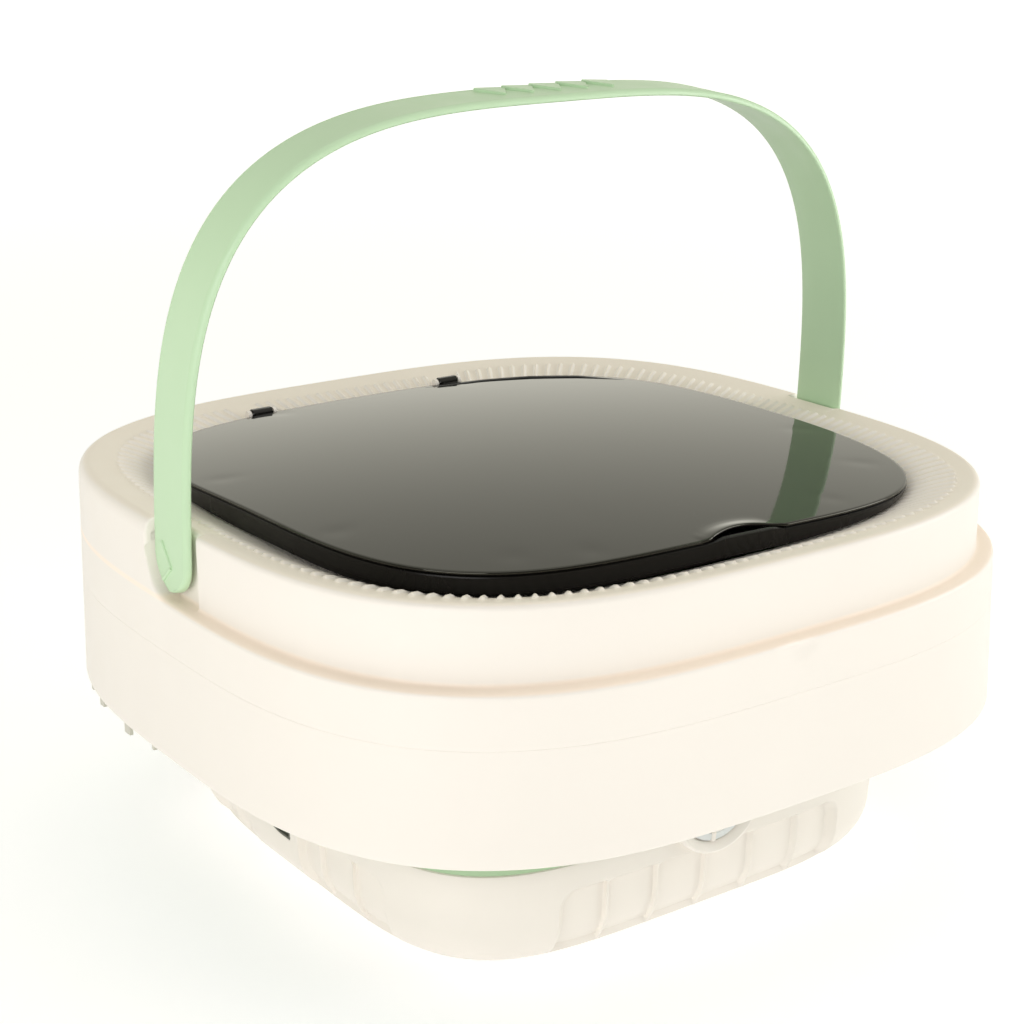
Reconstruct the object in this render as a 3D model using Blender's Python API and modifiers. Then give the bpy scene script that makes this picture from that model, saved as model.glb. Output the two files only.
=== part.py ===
"""Collapsible mini washing machine, folded flat, with its carrying strap raised.

Metres, +Z up. The origin is on the surface it stands on, under the middle of the body.
The front (lid notch, button, the side the strap folds towards) faces -Y, the lid hinge is at +Y.
"""

import math

import bmesh
import bpy
from mathutils import Matrix, Vector

MM = 0.001
GAP = 0.3 * MM

# Body: every plan outline is a superellipse |x/h|^n + |y/h|^n = 1 of half size h.
LEDGE_Z = 148.4 * MM      # the ledge that the folded strap lies on
BODY_HALF = 185 * MM      # half width of the shell at the ledge
BODY_POWER = 3.113
FLARE = 0.0245            # the shell widens downwards by this much per metre of height
WALL = 2.4 * MM
RECESS_HALF = 178.3 * MM  # half width of the wall behind the folded strap
RIM_RISE = 28.9 * MM
SEAM_DROP = 22.2 * MM     # ledge down to the seam between cover and skirt
SKIRT_DROP = 70 * MM      # ledge down to the bottom of the skirt
MOUTH_HALF = 143.5 * MM
POCKET_END_Y = 16.3 * MM  # the strap's pocket ends here, just behind the pivots

# Base
BASE_HALF = 133.7 * MM
BASE_POWER = 4.5
BASE_TOP = 48.4 * MM
BASE_BOTTOM = 2.8 * MM
COVER_HALF = 94.6 * MM
FLOOR_UNDER = 44.8 * MM
GRIP_HALF = 80 * MM
GRIP_LOW = 12 * MM
GRIP_HIGH = 37.5 * MM
GRIP_DEPTH = 7 * MM

# Strap
STRAP_HALF = 181.7 * MM
STRAP_THICK = 3.1 * MM
STRAP_WIDTH = 30 * MM
STRAP_RISE = 187.1 * MM
STRAP_START = 10 * MM     # ledge up to where the arch begins
STRAP_POWER = 3.39
STRAP_LEAN = math.radians(3.3)
STRAP_FOOT = 18.4 * MM    # ledge up to the centre of the round foot
PAD_X = 7 * MM            # middle of the raised pad on top of the strap
PAD_HALF = 42 * MM
PAD_RISE = 1.3 * MM
PIVOT_Y = -2.2 * MM
PIVOT_Z = LEDGE_Z + 16.65 * MM

# Lid
LID_HALF = 147.8 * MM
LID_POWER = 3.39
LID_DROP = 22.9 * MM      # heights above the ledge
LID_EDGE = 31.0 * MM
LID_CROWN = 36.6 * MM
HINGE_X = 55.5 * MM
HINGE_Y = 151 * MM
HINGE_Z = LEDGE_Z + 27.2 * MM

# Drive
BELT_PITCH_BIG = 36 * MM
BELT_PITCH_SMALL = 9 * MM
BELT_THICK = 1.7 * MM
MOTOR_X = 62 * MM
SHAFT_R = 5 * MM
PULLEY_LOW = 33.5 * MM
PULLEY_HIGH = 40.5 * MM

# Front button and side ports
BUTTON_Z = 60.5 * MM
PORT_Y = 11 * MM
PORT_Z = 35 * MM
PORT_SIZE = (30 * MM, 18 * MM)

STATIONS = 40


# ---------------------------------------------------------------- scene and materials

def clear_scene():
    for obj in list(bpy.data.objects):
        bpy.data.objects.remove(obj, do_unlink=True)


def collection(name, hidden=False):
    made = bpy.data.collections.new(name)
    bpy.context.scene.collection.children.link(made)
    made.hide_render = hidden
    return made


def material(name, colour, roughness, metallic=0.0, alpha=1.0):
    mat = bpy.data.materials.new(name)
    mat.use_nodes = True
    shader = mat.node_tree.nodes["Principled BSDF"]
    shader.inputs["Base Color"].default_value = (*colour, 1.0)
    shader.inputs["Roughness"].default_value = roughness
    shader.inputs["Metallic"].default_value = metallic
    shader.inputs["Alpha"].default_value = alpha
    return mat


clear_scene()
PARTS = collection("collapsible_washer")
CUTTERS = collection("cutters", hidden=True)

CREAM = material("cream_plastic", (0.91, 0.86, 0.76), 0.45)
GREEN = material("green_plastic", (0.58, 0.79, 0.56), 0.45)
TPE = material("green_rubber", (0.55, 0.74, 0.50), 0.6)
BLACK = material("black_plastic", (0.012, 0.011, 0.010), 0.2)
SMOKED = material("smoked_window", (0.02, 0.02, 0.018), 0.05, alpha=0.9)
RUBBER = material("black_rubber", (0.02, 0.02, 0.02), 0.8)
WHITE = material("white_plastic", (0.85, 0.85, 0.83), 0.4)
STEEL = material("steel", (0.6, 0.6, 0.6), 0.3, 1.0)
BRONZE = material("bronze", (0.6, 0.42, 0.2), 0.35, 1.0)
BOARD = material("circuit_board", (0.02, 0.2, 0.08), 0.5)
COPPER_LEAD = material("lead_sheath", (0.35, 0.02, 0.02), 0.5)


# ---------------------------------------------------------------- shape helpers

def add_object(name, mesh, mat, smooth=True):
    obj = bpy.data.objects.new(name, mesh)
    if mat is None:
        CUTTERS.objects.link(obj)
        obj.hide_render = True
        obj.display_type = "WIRE"
    else:
        mesh.materials.append(mat)
        PARTS.objects.link(obj)
    if smooth:
        mesh.shade_smooth()
        mesh.set_sharp_from_angle(angle=math.radians(35))
    return obj


def from_bmesh(name, bm, mat):
    bmesh.ops.recalc_face_normals(bm, faces=bm.faces)
    mesh = bpy.data.meshes.new(name)
    bm.to_mesh(mesh)
    bm.free()
    return add_object(name, mesh, mat)


def plan_point(half, power, angle):
    """A point of the superellipse of this half size, in the direction of the angle."""
    c, s = math.cos(angle), math.sin(angle)
    reach = half / (abs(c) ** power + abs(s) ** power) ** (1 / power)
    return reach * c, reach * s


def loft(name, rows, mat, ring):
    """Skin over rows of points. ring closes each row on itself; the rows always close round."""
    bm = bmesh.new()
    made = [[bm.verts.new(p) for p in row] for row in rows]
    for i, row in enumerate(made):
        after = made[(i + 1) % len(made)]
        for j in range(len(row) if ring else len(row) - 1):
            k = (j + 1) % len(row)
            bm.faces.new((row[j], row[k], after[k], after[j]))
    if not ring:
        bm.faces.new([row[0] for row in made])
        bm.faces.new([row[-1] for row in made])
    bmesh.ops.remove_doubles(bm, verts=bm.verts, dist=1e-6)
    bmesh.ops.dissolve_degenerate(bm, edges=bm.edges, dist=1e-6)
    return from_bmesh(name, bm, mat)


def plan_sweep(name, profile, power, mat, ring=True, base=0.0):
    """Carries a profile of (half size, height) round the superellipse.

    A ring has a closed profile and a hole in the middle. Otherwise the profile runs from the
    bottom to the top of a solid, whose two ends are flat.
    """
    rows = []
    for i in range(STATIONS):
        angle = 2 * math.pi * i / STATIONS
        rows.append([(*plan_point(h, power, angle), base + z) for h, z in profile])
    return loft(name, rows, mat, ring)


def turned(name, profile, mat, place=(0, 0, 0), turn=None, steps=20, ring=False):
    """Turns a profile of (radius, height), listed down its outer side, about its own Z."""
    mesh = bpy.data.meshes.new(name)
    edges = [(i, i + 1) for i in range(len(profile) - 1)]
    if ring:
        edges.append((len(profile) - 1, 0))
    mesh.from_pydata([(r, 0, z) for r, z in profile], edges, [])
    obj = add_object(name, mesh, mat, smooth=False)
    screw = obj.modifiers.new("turn", "SCREW")
    screw.axis = "Z"
    screw.steps = steps
    screw.render_steps = steps
    screw.use_merge_vertices = True
    screw.merge_threshold = 1e-5
    screw.use_smooth_shade = True
    obj.matrix_world = Matrix.Translation(place) @ (turn or Matrix.Identity(4))
    return obj


def rod(name, radius, low, high, mat, place=(0, 0, 0), turn=None, steps=16):
    profile = [(0, high), (radius, high), (radius, low), (0, low)]
    return turned(name, profile, mat, place, turn, steps)


def tube(name, radius, bore, low, high, mat, place=(0, 0, 0), turn=None, steps=16):
    profile = [(bore, high), (radius, high), (radius, low), (bore, low)]
    return turned(name, profile, mat, place, turn, steps, ring=True)


def box(name, low, high, mat, round_edges=0.0):
    bm = bmesh.new()
    low, high = Vector(low), Vector(high)
    size = high - low
    bmesh.ops.create_cube(bm, size=1.0, matrix=Matrix.Diagonal((*size, 1)))
    obj = from_bmesh(name, bm, mat)
    obj.location = (low + high) / 2
    if round_edges:
        bevel = obj.modifiers.new("rounded", "BEVEL")
        bevel.width = round_edges
        bevel.segments = 3
    return obj


def combine(obj, other, operation):
    step = obj.modifiers.new(operation.lower(), "BOOLEAN")
    step.operation = operation
    step.object = other
    return obj


TO_PLUS_X = Matrix.Rotation(math.radians(90), 4, "Y")
TO_PLUS_Y = Matrix.Rotation(math.radians(-90), 4, "X")
TO_MINUS_Y = Matrix.Rotation(math.radians(90), 4, "X")


def shell_half(rise):
    """Half size of the outer shell at this height above the ledge."""
    return BODY_HALF - FLARE * rise


# ---------------------------------------------------------------- upper housing

def cover_outside(recessed):
    """Outer side of the top cover, from the mouth over the deck and down to the seam."""
    deck = [(MOUTH_HALF, 17), (MOUTH_HALF, 20.1), (0.174, 28.3)]
    if recessed:
        h = RECESS_HALF
        wall = [(h - 0.002, 28.5), (h - 0.0006, 27.7), (h, 26), (h, 12), (h + 0.0001, 1.5),
                (h + 0.0011, 0.2), (BODY_HALF - 0.001, 0), (BODY_HALF, -1)]
    else:
        h = shell_half(RIM_RISE)
        wall = [(h - 0.0038, 28.9), (h - 0.0009, 27.2), (h, 23.5), (h + 0.0003, 12),
                (h + 0.0005, 3), (h + 0.0006, 1), (BODY_HALF - 0.00005, 0), (BODY_HALF, -1)]
    seam = [(shell_half(-SEAM_DROP), -SEAM_DROP / MM)]
    return [(half, z * MM) for half, z in deck + wall + seam]


def cover_inside(recessed):
    """Inner side of the top cover, from the seam back up to the mouth."""
    low = [(shell_half(-SEAM_DROP) - WALL, -SEAM_DROP / MM)]
    if recessed:
        h = RECESS_HALF - WALL
        wall = [(0.1826, -3.3), (0.1813, -2.5), (h + 0.0003, -2), (h, 12), (h, 24.5), (h - 0.001, 26)]
    else:
        h = shell_half(RIM_RISE) - WALL
        wall = [(0.1826, -3), (0.1825, -2.3), (h + 0.0004, -1.5), (h + 0.0002, 12), (h, 22), (h - 0.002, 26.2)]
    inner = MOUTH_HALF + WALL
    deck = [(0.172, 25.2), (inner, 18.2), (inner, 17)]
    return [(half, z * MM) for half, z in low + wall + deck]


def top_cover():
    """Deck, rim and upper wall. The front part of the wall is set in for the folded strap."""
    outer_turn = math.asin(POCKET_END_Y / BODY_HALF)
    inner_turn = math.asin((POCKET_END_Y + WALL) / BODY_HALF)
    marks = {round(2 * math.pi * i / STATIONS, 9) for i in range(STATIONS)}
    turns = (outer_turn, inner_turn, math.pi - inner_turn, math.pi - outer_turn)
    places = sorted(marks | {round(t, 9) for t in turns})
    rows = []
    for angle in places:
        for side in (-1e-7, 1e-7):
            at = angle + side
            back_out = outer_turn < at < math.pi - outer_turn
            back_in = inner_turn < at < math.pi - inner_turn
            profile = cover_outside(not back_out) + cover_inside(not back_in)
            row = [(*plan_point(h, BODY_POWER, angle), LEDGE_Z + z) for h, z in profile]
            if not rows or row != rows[-1]:
                rows.append(row)
    cover = loft("top_cover", rows, CREAM, ring=True)
    for sign in (-1, 1):
        hole = rod(f"pin_hole_{sign}", 4.4 * MM, -9 * MM, 9 * MM, None,
                   (sign * 177 * MM, PIVOT_Y, PIVOT_Z), TO_PLUS_X)
        combine(cover, hole, "DIFFERENCE")


def lower_skirt():
    top, low = -SEAM_DROP - GAP, -SKIRT_DROP
    profile = [(shell_half(top), top), (shell_half(low), low + 1.5 * MM), (shell_half(low) - 0.4 * MM, low),
               (shell_half(low) - WALL, low), (shell_half(top) - WALL, top)]
    plan_sweep("lower_skirt", profile, BODY_POWER, CREAM, base=LEDGE_Z)


def inner_rings():
    """What carries the bucket inside the shell."""
    def band(name, outer, inner, low, high, mat):
        profile = [(outer, low), (outer, high), (inner, high), (inner, low)]
        scaled = [(h * MM, z * MM) for h, z in profile]
        plan_sweep(name, scaled, BODY_POWER, mat, base=LEDGE_Z)

    band("mouth_ring", 143.1, 140.6, -30, 20.6, CREAM)
    band("bucket_upper_ring", 149.5, 145.8, -35, -27, WHITE)
    # The carrying ring ties the mouth ring to the shell.
    outside = shell_half(-SEAM_DROP) - WALL - GAP
    rows = []
    for i in range(STATIONS):
        angle = 2 * math.pi * i / STATIONS
        inner = plan_point(145.8 * MM, BODY_POWER, angle)
        outer = plan_point(outside - 0.6 * MM, BODY_POWER, angle)
        low, high = LEDGE_Z - 26 * MM, LEDGE_Z - 23.6 * MM
        rows.append([(*outer, low), (*outer, high), (*inner, high), (*inner, low)])
    loft("carrying_ring", rows, WHITE, ring=True)


# ---------------------------------------------------------------- strap

def strap_path():
    """Centre line of one upright strap in its own plane: (x, height above the ledge, half width)."""
    half, rise = STRAP_HALF - STRAP_THICK / 2, STRAP_RISE - STRAP_THICK / 2
    wide = STRAP_WIDTH / 2
    foot = []
    for degrees in (80, 62, 44, 28, 14, 0):
        a = math.radians(degrees)
        foot.append((half, STRAP_FOOT - wide * math.sin(a), wide * math.cos(a)))
    arch = []
    for step in range(6, 85, 3):
        a = math.radians(step)
        x, z = plan_point(1.0, STRAP_POWER, a)
        if STRAP_START + rise * z > STRAP_FOOT + 4 * MM:
            arch.append((half * x, STRAP_START + rise * z, wide))
    right = foot + arch
    top = [(0.0, STRAP_START + rise, wide)]
    left = [(-x, z, w) for x, z, w in reversed(right)]
    return right + top + left


def strap():
    """The carrying strap: a flat band with rounded edges, leaning a little forward."""
    path = strap_path()
    lean = Matrix.Rotation(STRAP_LEAN, 4, "X")
    base = Matrix.Translation((0, 0, LEDGE_Z + STRAP_START)) @ lean @ Matrix.Translation((0, 0, -STRAP_START))
    bm = bmesh.new()
    rings = []
    for i, (x, z, wide) in enumerate(path):
        before = path[max(i - 1, 0)]
        after = path[min(i + 1, len(path) - 1)]
        run = Vector((after[0] - before[0], after[1] - before[1])).normalized()
        out = Vector((run.y, -run.x))
        soft = min(1.3 * MM, wide * 0.45)
        t = STRAP_THICK / 2
        face = t + (PAD_RISE if wide == STRAP_WIDTH / 2 and abs(x - PAD_X) < PAD_HALF else 0)
        section = [(face, wide - soft), (t - soft, wide), (soft - t, wide), (-t, wide - soft),
                   (-t, soft - wide), (soft - t, -wide), (t - soft, -wide), (face, soft - wide)]
        rings.append([bm.verts.new(base @ Vector((x + out.x * u, v, z + out.y * u))) for u, v in section])
    for one, two in zip(rings, rings[1:]):
        for j in range(8):
            k = (j + 1) % 8
            bm.faces.new((one[j], one[k], two[k], two[j]))
    bm.faces.new(rings[0])
    bm.faces.new(rings[-1])
    from_bmesh("carry_strap", bm, GREEN)
    inner = STRAP_HALF - STRAP_THICK - GAP
    for side, sign in (("left", -1), ("right", 1)):
        turn = TO_PLUS_X if sign > 0 else Matrix.Rotation(math.radians(-90), 4, "Y")
        place = (0, PIVOT_Y, PIVOT_Z)
        rod(f"strap_pin_{side}", 4 * MM, 168 * MM, inner, GREEN, place, turn)
        tube(f"pin_washer_{side}", 8 * MM, 4.3 * MM, 172.6 * MM, 174.4 * MM, STEEL, place, turn)


# ---------------------------------------------------------------- lid

def lid():
    inner = LID_HALF - 3.8 * MM
    frame = [(inner, LID_DROP), (LID_HALF, LID_DROP), (LID_HALF - 0.5 * MM, LID_EDGE - 0.6 * MM),
             (LID_HALF - 1.2 * MM, LID_EDGE), (inner, LID_EDGE)]
    plan_sweep("lid_frame", frame, LID_POWER, BLACK, base=LEDGE_Z)
    seat = LID_EDGE + GAP
    below = LID_EDGE - 2.3 * MM
    window = [(4 * MM, LID_CROWN - 2.6 * MM), (80 * MM, LID_CROWN - 3.6 * MM), (inner - GAP, below),
              (inner - GAP, seat), (LID_HALF - 1.6 * MM, seat), (LID_HALF - 1.8 * MM, seat + 0.5 * MM),
              (120 * MM, LID_CROWN - 2.1 * MM), (80 * MM, LID_CROWN - 0.8 * MM), (4 * MM, LID_CROWN)]
    plan_sweep("lid_window", window, LID_POWER, SMOKED, ring=False, base=LEDGE_Z)
    seal = [(inner - GAP, 23.2 * MM), (inner - GAP, 28.2 * MM), (inner - 2.4 * MM, 28.2 * MM), (inner - 2.4 * MM, 23.2 * MM)]
    plan_sweep("lid_seal", seal, LID_POWER, RUBBER, base=LEDGE_Z)
    for side, sign in (("left", -1), ("right", 1)):
        lid_hinge(side, sign * HINGE_X)


def lid_hinge(side, x):
    """A clip on the lid that turns on a short pin held by a bracket on the deck."""
    place = (x, HINGE_Y, HINGE_Z)
    clip = tube(f"lid_clip_{side}", 3.9 * MM, 2.7 * MM, -6.5 * MM, 6.5 * MM, BLACK, place, TO_PLUS_X, 20)
    arm = box(f"arm_{side}", (x - 5 * MM, HINGE_Y - 4.3 * MM, HINGE_Z - 2 * MM),
              (x + 5 * MM, HINGE_Y - 3.1 * MM, HINGE_Z + 1.5 * MM), None)
    combine(clip, arm, "UNION")
    rod(f"hinge_pin_{side}", 2.4 * MM, -10 * MM, 10 * MM, CREAM, place, TO_PLUS_X, 20)
    low, high = HINGE_Z - 2.1 * MM, HINGE_Z + 3.3 * MM
    front, back = HINGE_Y + 5 * MM, HINGE_Y + 7.6 * MM
    bracket = box(f"hinge_bracket_{side}", (x - 10 * MM, front, low), (x + 10 * MM, back, high), CREAM)
    for sign in (-1, 1):
        near, far = sorted((x + sign * 7.2 * MM, x + sign * 10 * MM))
        web = box(f"web_{side}_{sign}", (near, HINGE_Y, low), (far, front + 1 * MM, high), None)
        combine(bracket, web, "UNION")
        ear = rod(f"ear_{side}_{sign}", 3.6 * MM, near - x, far - x, None, place, TO_PLUS_X, 20)
        combine(bracket, ear, "UNION")
    bore = rod(f"bore_{side}", 2.7 * MM, -12 * MM, 12 * MM, None, place, TO_PLUS_X)
    combine(bracket, bore, "DIFFERENCE")


# ---------------------------------------------------------------- bucket

def bucket():
    """The soft folding wall between base and mouth, as a pleated ring."""
    pleats = [(132.5, 48.8), (131.6, 54), (114, 60), (130, 70), (114, 80), (130, 90), (124, 100), (144.3, 108),
              (144.3, 121.6)]
    skin = 0.9
    outer = [(h + skin, z) for h, z in pleats]
    inner = [(h - skin, z) for h, z in reversed(pleats)]
    low, high = pleats[0][1], pleats[-1][1]
    rows = []
    for i in range(STATIONS):
        angle = 2 * math.pi * i / STATIONS
        row = []
        for half, z in outer + inner:
            up = min(max((z - low) / (high - 14 - low), 0), 1)
            power = BASE_POWER + (BODY_POWER - BASE_POWER) * up
            row.append((*plan_point(half * MM, power, angle), z * MM))
        rows.append(row)
    loft("folding_bucket", rows, TPE, ring=True)


# ---------------------------------------------------------------- base

def base_section(inset):
    """Outer or inner side of the base tub, from the bottom up to its open edge."""
    points = [(113, BASE_BOTTOM / MM), (122, 5), (129, 12), (132.5, 25), (BASE_HALF / MM, BASE_TOP / MM)]
    return [((h - inset) * MM, (z + min(inset, 2.5 if z < 12 else 0)) * MM) for h, z in points]


def grip_boxes(label, grow, mat):
    """One box for each hand grip of the base: the front, the right, and two at the left port."""
    wide, low, high = GRIP_HALF + grow, GRIP_LOW - grow, GRIP_HIGH + grow
    near, far = BASE_HALF - GRIP_DEPTH - grow, BASE_HALF + 20 * MM
    port_low = PORT_Y - PORT_SIZE[0] / 2 - 4 * MM + grow
    port_high = PORT_Y + PORT_SIZE[0] / 2 + 4 * MM - grow
    spans = {
        "front": ((-wide, -far, low), (wide, -near, high)),
        "right": ((near, -wide, low), (far, wide, high)),
        "left_front": ((-far, -wide, low), (-near, port_low, high)),
        "left_back": ((-far, port_high, low), (-near, wide, high)),
    }
    return [box(f"{label}_{name}", a, b, mat) for name, (a, b) in spans.items()]


def base_housing():
    outer = base_section(0)
    tub = plan_sweep("base_housing", outer, BASE_POWER, CREAM, ring=False)
    for grip in grip_boxes("grip", 0, None):
        combine(tub, grip, "DIFFERENCE")
    inner = base_section(2.5)
    inner[-1] = (inner[-1][0], BASE_TOP + 5 * MM)
    hollow = plan_sweep("hollow", inner, BASE_POWER, None, ring=False)
    for grip in grip_boxes("grip_skin", 2.5 * MM, None):
        combine(hollow, grip, "DIFFERENCE")
    combine(tub, hollow, "DIFFERENCE")
    opening = [(COVER_HALF + 0.4 * MM, 0), (COVER_HALF + 0.4 * MM, 9 * MM)]
    combine(tub, plan_sweep("cover_opening", opening, BASE_POWER, None, ring=False), "DIFFERENCE")
    half_w, half_h = PORT_SIZE[0] / 2, PORT_SIZE[1] / 2
    port = box("port_opening", (-0.150, PORT_Y - half_w, PORT_Z - half_h),
               (-0.120, PORT_Y + half_w, PORT_Z + half_h), None)
    combine(tub, port, "DIFFERENCE")
    inlet = rod("inlet_opening", 6.9 * MM, 110 * MM, 150 * MM, None, (0, 0, 27 * MM), TO_PLUS_Y)
    combine(tub, inlet, "DIFFERENCE")


def service_cover():
    profile = [(COVER_HALF, BASE_BOTTOM), (COVER_HALF, 5.7 * MM), (COVER_HALF + 5 * MM, 5.7 * MM), (COVER_HALF + 5 * MM, 7.6 * MM)]
    cover = plan_sweep("service_cover", profile, BASE_POWER, CREAM, ring=False)
    for i in range(4):
        turn = math.radians(45 + 90 * i)
        x, y = 0.092 * math.cos(turn), 0.092 * math.sin(turn)
        hole = rod(f"screw_hole_{i}", 1.9 * MM, 0, 12 * MM, None, (x, y, 0), steps=12)
        combine(cover, hole, "DIFFERENCE")
        head = [(0, 11.5 * MM), (1.5 * MM, 10.5 * MM), (1.5 * MM, 2.5 * MM), (3.2 * MM, 2.5 * MM), (2.6 * MM, 1 * MM), (0, 1 * MM)]
        turned(f"cover_screw_{i + 1}", head, STEEL, (x, y, 0), steps=12)


def feet():
    for side, sx in (("left", -1), ("right", 1)):
        for end, sy in (("front", -1), ("back", 1)):
            place = (sx * 88 * MM, sy * 88 * MM, 0)
            pad = [(0, 2.5 * MM), (7 * MM, 2.5 * MM), (7 * MM, 0.5 * MM), (6.5 * MM, 0), (0, 0)]
            turned(f"foot_{end}_{side}", pad, RUBBER, place, steps=20)


def drum_floor():
    rows = []
    for i in range(STATIONS):
        angle = 2 * math.pi * i / STATIONS
        outer = plan_point(130.6 * MM, BASE_POWER, angle)
        hub = plan_point(13 * MM, 2, angle)
        rows.append([(*outer, FLOOR_UNDER), (*outer, BASE_TOP), (*hub, BASE_TOP), (*hub, FLOOR_UNDER)])
    floor = loft("drum_floor", rows, WHITE, ring=True)
    drain = rod("drain_hole", 6.5 * MM, 40 * MM, 55 * MM, None, (-100 * MM, PORT_Y, 0), steps=20)
    combine(floor, drain, "DIFFERENCE")
    ring = [(130.2, 48.8), (130.2, 51), (127.5, 51), (127.5, 48.8)]
    plan_sweep("bucket_lower_ring", [(h * MM, z * MM) for h, z in ring], BASE_POWER, WHITE)


def control_boss():
    """Round boss in front of the tub with the power button and its light ring."""
    place = (0, -BASE_HALF - GAP, BUTTON_Z)
    boss = [(0, 1), (16.6, 1), (16.6, 3), (19.6, 3.6), (21.5, 5), (23, 5), (24, 4.2), (24, 0), (0, 0)]
    turned("control_boss", [(r * MM, z * MM) for r, z in boss], CREAM, place, TO_MINUS_Y, 24)
    ring = [(13.3, 3.3), (16.3, 3.3), (16.3, 1.3), (13.3, 1.3)]
    turned("light_ring", [(r * MM, z * MM) for r, z in ring], WHITE, place, TO_MINUS_Y, 24, ring=True)
    button = [(0, 4.7), (8, 4.8), (12, 5), (13, 4.4), (13, 2.6), (0, 2.6)]
    turned("power_button", [(r * MM, z * MM) for r, z in button], CREAM, place, TO_MINUS_Y, 24)


def power_inlet():
    """Coaxial socket in the back wall."""
    profile = [(0, 132.5), (1, 132.5), (1, 126), (3, 126), (3, 134.6), (8.5, 134.6), (8.5, 133.6 + GAP / MM),
               (6.5, 133.6 + GAP / MM), (6.5, 118), (0, 118)]
    turned("power_inlet", [(r * MM, z * MM) for r, z in profile], BLACK, (0, 0, 27 * MM), TO_PLUS_Y, 16)


def drain():
    half_w, half_h = PORT_SIZE[0] / 2 - GAP, PORT_SIZE[1] / 2 - GAP
    wall = 1.5 * MM
    low = (-133.2 * MM, PORT_Y - half_w, PORT_Z - half_h)
    high = (-119 * MM, PORT_Y + half_w, PORT_Z + half_h)
    tray = box("port_housing", low, high, BLACK)
    room = box("port_room", (-0.150, low[1] + wall, low[2] + wall), (high[0] - wall, high[1] - wall, high[2] - wall), None)
    combine(tray, room, "DIFFERENCE")
    axis = (0, PORT_Y, PORT_Z)
    way = rod("spout_way", 7 * MM, -0.125, -0.110, None, axis, TO_PLUS_X)
    combine(tray, way, "DIFFERENCE")
    pipe = rod("drain_pipe", 8.4 * MM, 27 * MM, FLOOR_UNDER - GAP, WHITE, (-100 * MM, PORT_Y, 0), steps=20)
    combine(pipe, rod("spout_body", 6.7 * MM, -0.129, -0.100, None, axis, TO_PLUS_X), "UNION")
    combine(pipe, rod("sump_bore", 6.4 * MM, 29 * MM, 60 * MM, None, (-100 * MM, PORT_Y, 0)), "DIFFERENCE")
    combine(pipe, rod("spout_bore", 4.9 * MM, -0.140, -0.100, None, axis, TO_PLUS_X), "DIFFERENCE")
    plug = [(0, 133), (3.2, 133), (3.2, 130.8), (7, 130.8), (7, 129.3), (4.6, 129.3), (4.4, 121), (0, 121)]
    turn = Matrix.Rotation(math.radians(-90), 4, "Y")
    turned("drain_plug", [(r * MM, z * MM) for r, z in plug], RUBBER, axis, turn, 20)


# ---------------------------------------------------------------- drive

def drive():
    """Motor, belt and the pulsator that stirs the wash."""
    motor = (MOTOR_X, 0, 0)
    can = [(0, 31.3), (8, 31.3), (8, 30), (23, 30), (25, 28), (25, 11), (23, 9), (0, 9)]
    turned("motor", [(r * MM, z * MM) for r, z in can], STEEL, motor, steps=20)
    plate = box("motor_bracket", (MOTOR_X - 0.032, -0.036, 31.7 * MM), (MOTOR_X + 0.032, 0.036, 33 * MM), STEEL)
    combine(plate, rod("bracket_hole", 6 * MM, 25 * MM, 40 * MM, None, motor), "DIFFERENCE")
    for i, y in enumerate((-0.031, 0.031)):
        rod(f"bracket_post_{i + 1}", 3.5 * MM, 7.9 * MM, 31.4 * MM, WHITE, (MOTOR_X, y, 0), steps=14)
    rod("motor_shaft", 2.5 * MM, 31.6 * MM, 42 * MM, STEEL, motor, steps=16)
    pulley("motor_pulley", BELT_PITCH_SMALL, 2.8 * MM, motor)
    pulley("drive_pulley", BELT_PITCH_BIG, SHAFT_R + GAP, (0, 0, 0))
    drive_belt()
    rod("pulsator_shaft", SHAFT_R, 31.5 * MM, 63 * MM, STEEL, steps=20)
    bush = [(5.3, 50.2), (16, 50.2), (16, 48.7), (12.7, 48.7), (12.7, 42), (5.3, 42)]
    turned("shaft_bush", [(r * MM, z * MM) for r, z in bush], BRONZE, steps=24, ring=True)
    tube("shaft_seal", 10 * MM, 5.25 * MM, 50.5 * MM, 52.8 * MM, RUBBER)
    pulsator()


def pulley(name, pitch, bore, place):
    """Flanged pulley whose belt runs at the pitch radius."""
    groove = pitch - BELT_THICK / 2 - GAP
    flange = pitch + BELT_THICK / 2 + 0.6 * MM
    rim = 0.7 * MM
    profile = [(bore, PULLEY_HIGH), (flange, PULLEY_HIGH), (flange, PULLEY_HIGH - rim), (groove, PULLEY_HIGH - rim),
               (groove, PULLEY_LOW + rim), (flange, PULLEY_LOW + rim), (flange, PULLEY_LOW), (bore, PULLEY_LOW)]
    turned(name, profile, WHITE, place, steps=20, ring=True)


def drive_belt():
    """Open belt round both pulleys: two arcs joined by the outer tangents."""
    slope = math.acos((BELT_PITCH_BIG - BELT_PITCH_SMALL) / MOTOR_X)
    low, high = PULLEY_LOW + 1 * MM, PULLEY_HIGH - 1 * MM
    rows = []

    def arc(centre_x, pitch, start, end, count):
        for i in range(count):
            a = start + (end - start) * i / (count - 1)
            inner, outer = pitch - BELT_THICK / 2, pitch + BELT_THICK / 2
            c, s = math.cos(a), math.sin(a)
            near = (centre_x + inner * c, inner * s)
            far = (centre_x + outer * c, outer * s)
            rows.append([(*near, low), (*far, low), (*far, high), (*near, high)])

    arc(0, BELT_PITCH_BIG, slope, 2 * math.pi - slope, 25)
    arc(MOTOR_X, BELT_PITCH_SMALL, -slope, slope, 9)
    loft("drive_belt", rows, RUBBER, ring=True)


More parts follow.
